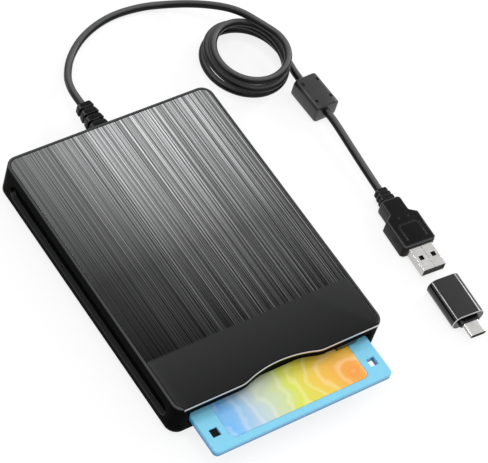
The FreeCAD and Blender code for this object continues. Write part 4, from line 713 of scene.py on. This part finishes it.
class FLOPPY_OT_stage(bpy.types.Operator):
    """Make the camera, the pale floor, the lamps and the world"""
    bl_idname = "floppy.stage"
    bl_label = "Stage"

    def execute(self, context):
        scene = context.scene
        scene.view_settings.view_transform = "Standard"
        self.camera(scene)
        self.floor(scene)
        self.world(scene)
        self.lamps()
        return {"FINISHED"}

    def lamps(self):
        """Four round lamps, each a name, a place, a size and a power, that face the drive."""
        target = Vector((0.03, 0.02, 0.0))
        lamps = (("key", (1.02, 0.16, 0.52), 0.34, 4.6), ("left", (-0.55, 0.375, 0.70), 0.14, 1.1),
                 ("front", (-0.25, -0.85, 0.75), 0.50, 0.9), ("top", (0.02, 0.02, 1.15), 0.30, 1.9))
        for name, spot, size, power in lamps:
            light = bpy.data.lights.new(name, "AREA")
            light.shape = "DISK"
            light.size = size
            light.energy = power
            lamp = added(name, light)
            lamp.location = spot
            lamp.rotation_euler = (target - Vector(spot)).to_track_quat("-Z", "Y").to_euler()

    def camera(self, scene):
        """The photograph's view: from the front left, high up and leaning."""
        right = Vector((0.8174, -0.5381, 0.2056))
        up = Vector((0.3346, 0.7341, 0.5909))
        back = Vector((-0.4690, -0.4142, 0.7801))
        lens = bpy.data.cameras.new("camera")
        lens.sensor_width = 36.0
        lens.lens = 194.03
        lens.clip_start = 0.05
        camera = added("camera", lens)
        turn = Matrix((right, up, back)).transposed().to_4x4()
        camera.matrix_world = Matrix.Translation((-0.50165, -0.46822, 0.89097)) @ turn
        scene.camera = camera

    def rays(self, tree):
        """One for camera, glossy and transmission rays, and none for the rest."""
        path = tree.nodes.new("ShaderNodeLightPath")
        total = path.outputs["Is Camera Ray"]
        for name in ("Is Glossy Ray", "Is Transmission Ray"):
            most = tree.nodes.new("ShaderNodeMath")
            most.operation = "MAXIMUM"
            tree.links.new(total, most.inputs[0])
            tree.links.new(path.outputs[name], most.inputs[1])
            total = most.outputs[0]
        return total

    def blend(self, tree, share, first, second, end):
        """Mix two shaders into a tree's output."""
        mix = tree.nodes.new("ShaderNodeMixShader")
        for socket, output in zip(mix.inputs, (share, first, second)):
            tree.links.new(output, socket)
        tree.links.new(mix.outputs[0], tree.nodes[end].inputs["Surface"])

    def floor(self, scene):
        """A pale floor that shows white to the camera and keeps the soft shadow."""
        colours = scene.drive_colours
        made = Finish("pale_floor", colours.floor, 0.9, specular=0.0)
        made.mottle(0.3, 0.005)
        glow = made.add("ShaderNodeEmission", Strength=1.0).outputs[0]
        share = made.sum("MULTIPLY", self.rays(made.tree), 0.80)
        self.blend(made.tree, share, made.surface.outputs[0], glow, "Material Output")
        shape = bmesh.new()
        reach = 3.0
        corners = [shape.verts.new((x * reach, y * reach, -0.00002))
                   for x, y in ((-1, -1), (1, -1), (1, 1), (-1, 1))]
        shape.faces.new(corners)
        mesh = mesh_of("floor", shape)
        mesh.materials.append(made.material)
        added("floor", mesh)

    def world(self, scene):
        """A white that the camera sees, and a softer one that lights the scene."""
        world = bpy.data.worlds.new("studio")
        scene.world = world
        world.use_nodes = True
        tree = world.node_tree
        fill, shown = tree.nodes["Background"], tree.nodes.new("ShaderNodeBackground")
        for glow, strength in ((fill, 0.82), (shown, 1.0)):
            glow.inputs["Color"].default_value = (1.0, 1.0, 1.0, 1.0)
            glow.inputs["Strength"].default_value = strength
        self.blend(tree, self.rays(tree), fill.outputs[0], shown.outputs[0], "World Output")


class FLOPPY_OT_strain_relief(bpy.types.Operator):
    """Make the ribbed strain relief where the cord leaves the case"""
    bl_idname = "floppy.strain_relief"
    bl_label = "Strain relief"

    def execute(self, context):
        count = context.scene.drive_sizes.relief_ribs
        wall, end = 72.4 * MM, RELIEF_HIGH.y
        place = Matrix.Translation((0, 0, 9.0 * MM))
        shape = bmesh.new()
        neck, flange = 67.0 * MM, 67.4 * MM
        loft(shape, place, eased_run(-wall - 0.5 * MM, -neck, 3.2 * MM, 3.2 * MM, 3.2 * MM, 0.1 * MM))
        loft(shape, place, eased_run(-flange, -RELIEF_LOW.y, 4.6 * MM, 4.0 * MM, 0.6 * MM, 0.2 * MM))
        loft(shape, place, eased_run(-end, -wall + 0.3 * MM, 2.3 * MM, 2.2 * MM, 2.0 * MM, 0.5 * MM,
                                     last=(2.9 * MM, 2.5 * MM)))
        step = (end - wall) / count
        for i in range(count):
            half, tall = (4.45 - 0.2 * i) * MM, (3.8 - 0.15 * i) * MM
            near, far = wall + step * i + 1.15 * MM, wall + step * (i + 1)
            taper = (half - 0.25 * MM, tall - 0.2 * MM)
            loft(shape, place, eased_run(-far, -near, *taper, 1.7 * MM, 0.35 * MM, last=(half, tall)))
            sideways = i % 2 == 0
            for sign in (-1, 1):
                web = (moved(place, sign * (half - 1.3 * MM)) if sideways
                       else moved(place, 0, 0, sign * (tall - 1.2 * MM)))
                across, high = (0.9 * MM, 1.2 * MM) if sideways else (1.5 * MM, 0.8 * MM)
                loft(shape, web, eased_run(-near - 0.2 * MM, -near + 1.35 * MM, across, high,
                                           0.3 * MM, 0.05 * MM), steps=3)
        relief = make_piece("strain_relief_moulding", shape, "drive", ["moulding"])
        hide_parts("strain_relief")
        return {"FINISHED"}


class FLOPPY_OT_plug(bpy.types.Operator):
    """Make the plug's grip, with its relief ribs, raised panel and side ribs"""
    bl_idname = "floppy.plug"
    bl_label = "Plug"

    def execute(self, context):
        shape = bmesh.new()
        seat = 29.5 * MM
        end, shoulder, neck = GRIP_END, 17.6 * MM, 7.0 * MM
        low, tall = 3.75 * MM, 4.05 * MM
        skin = [(seat, 6.0 * MM, 2.25 * MM, 0.4 * MM), (end, 6.0 * MM, 2.25 * MM, 0.4 * MM),
                (end, 7.0 * MM, tall - 1.0 * MM, 0.9 * MM),
                (end - 0.35 * MM, 7.6 * MM, tall - 0.45 * MM, 1.0 * MM),
                (end - 1.4 * MM, 8.5 * MM, tall, 1.2 * MM), (shoulder + 0.4 * MM, 8.5 * MM, tall, 1.2 * MM),
                (shoulder, 8.4 * MM, tall, 1.2 * MM), (15.4 * MM, 5.4 * MM, low + 0.1 * MM, 1.1 * MM),
                (14.6 * MM, 5.1 * MM, low, 1.0 * MM), (8.2 * MM, 5.1 * MM, low, 1.0 * MM),
                (7.4 * MM, 4.6 * MM, low - 0.25 * MM, 1.0 * MM), (neck, 4.0 * MM, low - 0.7 * MM, 1.0 * MM)]
        loft(shape, PLUG_PLACE, skin)
        loft(shape, PLUG_PLACE, eased_run(0.0, neck + 0.5 * MM, 2.3 * MM, 2.2 * MM, 1.8 * MM, 0.3 * MM,
                                          last=(3.0 * MM, 2.6 * MM)))
        for i in range(3):
            start = (0.1 + 2.3 * i) * MM
            half, high = (2.85 + 0.3 * i) * MM, (2.6 + 0.22 * i) * MM
            loft(shape, PLUG_PLACE, eased_run(start, start + 1.6 * MM, half, high, 1.3 * MM, 0.3 * MM,
                                              last=(half + 0.1 * MM, high + 0.08 * MM)))
            for sign in (-1, 1):
                web = moved(PLUG_PLACE, sign * (half - 0.8 * MM))
                loft(shape, web, eased_run(start + 1.4 * MM, start + 2.5 * MM, 0.6 * MM, 0.9 * MM,
                                           0.25 * MM, 0.05 * MM), steps=3)
        self.panel(shape, end, tall)
        self.side_ribs(shape, end)
        grip = make_piece("plug_grip", shape, "drive", ["moulding"])
        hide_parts("plug_overmould")
        dress("nickel", "plug_shell")
        dress("cord", "plug_tongue")
        dress("brass", "plug_contacts")
        return {"FINISHED"}

    def panel(self, shape, end, tall):
        """A raised U-shaped line on the grip's upper and lower faces, and two small dots."""
        middle, half, long, wire = end - 7.6 * MM, 5.0 * MM, 4.4 * MM, 0.32 * MM
        for side in (-1, 1):
            face = moved(PLUG_PLACE, 0, 0, side * (tall - 0.17 * MM))
            for sign in (-1, 1):
                loft(shape, moved(face, sign * half),
                     eased_run(middle - long + 1.2 * MM, middle + long, wire, wire, 0.15 * MM,
                               0.1 * MM), steps=2)
                loft(shape, moved(face, sign * 2.4 * MM),
                     eased_run(middle - 8.0 * MM, middle - 7.1 * MM, 0.45 * MM, wire, 0.3 * MM,
                               0.1 * MM), steps=3)
            loft(shape, face, eased_run(middle - long, middle - long + 2 * wire, half - 1.1 * MM, wire,
                                       0.15 * MM, 0.1 * MM), steps=2)
            for sign in (-1, 1):
                bend = moved(face, sign * (half - 0.62 * MM), -middle + long - 0.86 * MM)
                bend = bend @ Matrix.Rotation(sign * math.radians(45), 4, "Z")
                loft(shape, bend, eased_run(-1.05 * MM, 1.05 * MM, wire, wire, 0.15 * MM, 0.1 * MM), steps=2)

    def side_ribs(self, shape, end):
        """Five slanted ribs on each side for the fingers."""
        for sign in (-1, 1):
            for i in range(5):
                spot = moved(PLUG_PLACE, sign * 8.42 * MM, -(end - (4.6 + 1.25 * i) * MM))
                rib = spot @ Matrix.Rotation(math.radians(28), 4, "X")
                loft(shape, rib, eased_run(-0.30 * MM, 0.30 * MM, 0.26 * MM, 2.3 * MM, 0.15 * MM,
                                           0.1 * MM), steps=2)


class FLOPPY_OT_adapter(bpy.types.Operator):
    """Make the small adapter: its glossy body, bright edges, collar and end plug"""
    bl_idname = "floppy.adapter"
    bl_label = "Adapter"

    def execute(self, context):
        shape = bmesh.new()
        start, stop = ADAPTER_START, ADAPTER_START + ADAPTER_LONG
        half, tall, chamfer = 8.1 * MM, 4.2 * MM, 0.28 * MM
        room, depth = (6.45 * MM, 2.70 * MM, 0.3 * MM), 13.2 * MM
        corner = tall - 0.25 * MM
        mouth = [(start + depth, *room), (start, *room)]
        rim = (half - chamfer, tall - chamfer, corner - chamfer)
        body = [(start + chamfer, half, tall, corner), (stop - chamfer, half, tall, corner)]
        loft(shape, PLUG_PLACE, mouth + [(start, *rim)], capped=False)
        loft(shape, PLUG_PLACE, [(start, *rim), body[0]], capped=False)
        loft(shape, PLUG_PLACE, body, capped=False)
        loft(shape, PLUG_PLACE, [body[1], (stop, *rim)], capped=False, kind=1)
        shape.faces.new(cross_ring(shape, PLUG_PLACE, stop, *rim))
        shape.faces.new(cross_ring(shape, PLUG_PLACE, start + depth, *room))
        bmesh.ops.remove_doubles(shape, verts=shape.verts, dist=1e-7)
        case = make_piece("adapter_case", shape, "adapter", ["gloss", "trim"])
        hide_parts("adapter_body")
        shape = bmesh.new()
        loft(shape, PLUG_PLACE, eased_run(stop, stop + 1.6 * MM, 5.07 * MM, 2.18 * MM, 1.9 * MM,
                                          0.3 * MM))
        collar = make_piece("adapter_collar_ring", shape, "adapter", ["moulding"])
        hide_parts("adapter_collar")
        dress("nickel", "usb_c_shell", "adapter_socket")
        dress("cord", "adapter_tongue", "usb_c_insert")
        return {"FINISHED"}


class FLOPPY_OT_cord(bpy.types.Operator):
    """Make the cord from the case through its loose coil and ferrite to the plug"""
    bl_idname = "floppy.cord"
    bl_label = "Cord"

    def execute(self, context):
        sizes = context.scene.drive_sizes
        curve = bpy.data.curves.new("cord", "CURVE")
        curve.dimensions = "3D"
        curve.bevel_depth = sizes.cord_diameter / 2
        curve.bevel_resolution = 5
        curve.resolution_u = 8
        curve.use_fill_caps = True
        route = cord_route(sizes.coil_turns)
        spline = curve.splines.new("NURBS")
        spline.points.add(len(route) - 1)
        for point, spot in zip(spline.points, route):
            point.co = (*spot, 1.0)
        spline.order_u = 3
        spline.use_endpoint_u = True
        curve.materials.append(finish_of("cord"))
        cord = added("cord", curve)
        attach(cord, "drive")
        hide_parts("cord_loop", "cord_coil", "cord_lead", "cord_tail")
        return {"FINISHED"}


class FLOPPY_OT_ferrite(bpy.types.Operator):
    """Make the ferrite's rounded housing, with the pockets of its four latches"""
    bl_idname = "floppy.ferrite"
    bl_label = "Ferrite"

    def execute(self, context):
        place = Matrix.Translation(FERRITE_MIDDLE) @ Matrix.Rotation(FERRITE_TURN, 4, "Z")
        half, tall, long = FERRITE_HALF, FERRITE_MIDDLE.z, FERRITE_LONG / 2
        shape = bmesh.new()
        loft(shape, place, eased_run(-long, long, half, tall - 0.02 * MM, 2.6 * MM, 0.9 * MM, steps=4))
        for across in (-1, 1):
            for along in (-1, 1):
                for side in (-1, 1):
                    spot = moved(place, across * (half - 2.3 * MM), 0, side * (tall - 0.53 * MM))
                    far = along * (long - 4.0 * MM)
                    loft(shape, spot, eased_run(far - 0.9 * MM, far + 0.9 * MM, 0.7 * MM, 0.52 * MM,
                                                0.1 * MM, 0.1 * MM), steps=2, kind=1)
        case = make_piece("ferrite_case", shape, "drive", ["ferrite", "moulding"])
        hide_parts("ferrite_housing_upper", "ferrite_housing_lower")
        dress("core", "ferrite_core")
        return {"FINISHED"}


class FLOPPY_OT_case(bpy.types.Operator):
    """Finish the case, and make its rubber feet"""
    bl_idname = "floppy.case"
    bl_label = "Case and feet"

    def execute(self, context):
        dress("case", "upper_case", "bottom_cover")
        dress("steel", "case_screws")
        shape = bmesh.new()
        radius = 4.0 * MM
        x, y = FEET_HIGH.x - radius, FEET_HIGH.y - radius
        for right in (-1, 1):
            for back in (-1, 1):
                turned(shape, (right * x, back * y), [
                    (radius - 0.1 * MM, FEET_HIGH.z), (radius, FEET_HIGH.z - 0.1 * MM),
                    (radius, FEET_LOW.z + 0.25 * MM), (radius - 0.08 * MM, FEET_LOW.z + 0.08 * MM),
                    (radius - 0.3 * MM, FEET_LOW.z), (radius - 1.3 * MM, FEET_LOW.z),
                    (radius - 1.6 * MM, FEET_LOW.z + 0.15 * MM), (0.05 * MM, FEET_LOW.z + 0.15 * MM)])
        feet = make_piece("round_feet", shape, "drive", ["rubber"])
        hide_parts("rubber_feet")
        return {"FINISHED"}


class FLOPPY_OT_top_plate(bpy.types.Operator):
    """Make the brushed top plate and the bright edge along its waved front"""
    bl_idname = "floppy.top_plate"
    bl_label = "Top plate"

    def execute(self, context):
        ease = context.scene.drive_sizes.plate_ease
        shape = bmesh.new()
        slab(shape, plate_outline, PLATE_LOW.z, PLATE_HIGH.z, ease)
        plate = make_piece("brushed_top", shape, "drive", ["plate"], 60.0)
        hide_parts("top_plate")
        shape = bmesh.new()
        half, count = TRIM_HIGH.x, 120
        near, far, round_edge = 0.1 * MM, 0.44 * MM, 0.14 * MM
        corner = [(near, TRIM_LOW.z), (near, TRIM_HIGH.z - round_edge),
                  (near + 0.05 * MM, TRIM_HIGH.z - 0.05 * MM), (near + round_edge, TRIM_HIGH.z),
                  (far - 0.05 * MM, TRIM_HIGH.z), (far, TRIM_HIGH.z - 0.05 * MM), (far, TRIM_LOW.z)]
        rings = []
        for k in range(count + 1):
            x = half * (2 * k / count - 1)
            rings.append([shape.verts.new((x, wave_y(x, inset), z)) for inset, z in corner])
        join_rings(shape, rings)
        trim = make_piece("bright_edge", shape, "drive", ["trim"])
        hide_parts("front_trim")
        return {"FINISHED"}


class FLOPPY_OT_front(bpy.types.Operator):
    """Finish the bezel, the eject button and the access light"""
    bl_idname = "floppy.front"
    bl_label = "Bezel and button"

    def execute(self, context):
        dress("case", "front_bezel")
        dress("gloss", "eject_button")
        dress("lens", "access_light")
        return {"FINISHED"}


class FLOPPY_OT_diskette(bpy.types.Operator):
    """Finish the diskette, and make its label"""
    bl_idname = "floppy.diskette"
    bl_label = "Diskette"

    def execute(self, context):
        dress("diskette", "diskette_shell_upper", "diskette_shell_lower")
        dress("moulding", "write_protect_tab")
        dress("steel", "diskette_shutter", "diskette_hub")
        dress("media", "magnetic_disc")
        dress("liner", "diskette_liners")
        shape = bmesh.new()
        slab(shape, round_outline(LABEL_LOW, LABEL_HIGH, 2.85 * MM), LABEL_LOW.z, LABEL_HIGH.z,
             0.03 * MM, steps=2)
        label = make_piece("label_sheet", shape, "diskette", ["label"], 60.0)
        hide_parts("diskette_label")
        return {"FINISHED"}


class FLOPPY_OT_mechanism(bpy.types.Operator):
    """Finish the pieces inside the case"""
    bl_idname = "floppy.mechanism"
    bl_label = "Mechanism"

    def execute(self, context):
        dress("steel", "drive_chassis", "chassis_screws", "spindle_motor_plate", "spindle_rotor",
              "guide_rods", "stepper_motor", "arm_hinge_pin", "disk_carrier", "eject_slide",
              "eject_springs")
        dress("brass", "lead_screw")
        dress("copper", "stator_coils")
        dress("ivory", "head_carriage", "upper_head_arm", "board_connectors", "flat_cable",
              "sensor_switches")
        dress("board", "control_board", "interface_board")
        dress("gloss", "board_chips")
        return {"FINISHED"}


STEPS = (FLOPPY_OT_stage, FLOPPY_OT_strain_relief, FLOPPY_OT_plug, FLOPPY_OT_ferrite,
         FLOPPY_OT_cord, FLOPPY_OT_adapter, FLOPPY_OT_case, FLOPPY_OT_top_plate, FLOPPY_OT_front,
         FLOPPY_OT_diskette, FLOPPY_OT_mechanism)


class FLOPPY_PT_panel(bpy.types.Panel):
    """The drive's sizes, colours and steps"""
    bl_label = "Floppy drive"
    bl_idname = "FLOPPY_PT_panel"
    bl_space_type = "VIEW_3D"
    bl_region_type = "UI"
    bl_category = "Floppy drive"

    def draw(self, context):
        scene = context.scene
        for group in (scene.drive_sizes, scene.drive_colours):
            for name in group.__annotations__:
                self.layout.prop(group, name)
        for step in STEPS:
            self.layout.operator(step.bl_idname)


CLASSES = (DriveSizes, DriveColours, *STEPS, FLOPPY_PT_panel)


def register():
    """Make the classes and the two groups known."""
    for part in CLASSES:
        bpy.utils.register_class(part)
    bpy.types.Scene.drive_sizes = PointerProperty(type=DriveSizes)
    bpy.types.Scene.drive_colours = PointerProperty(type=DriveColours)


def unregister():
    """Take them out again, the last one first."""
    del bpy.types.Scene.drive_colours
    del bpy.types.Scene.drive_sizes
    for part in reversed(CLASSES):
        bpy.utils.unregister_class(part)


def main():
    register()
    for step in STEPS:
        group, name = step.bl_idname.split(".")
        getattr(getattr(bpy.ops, group), name)()


if __name__ == "__main__":
    main()
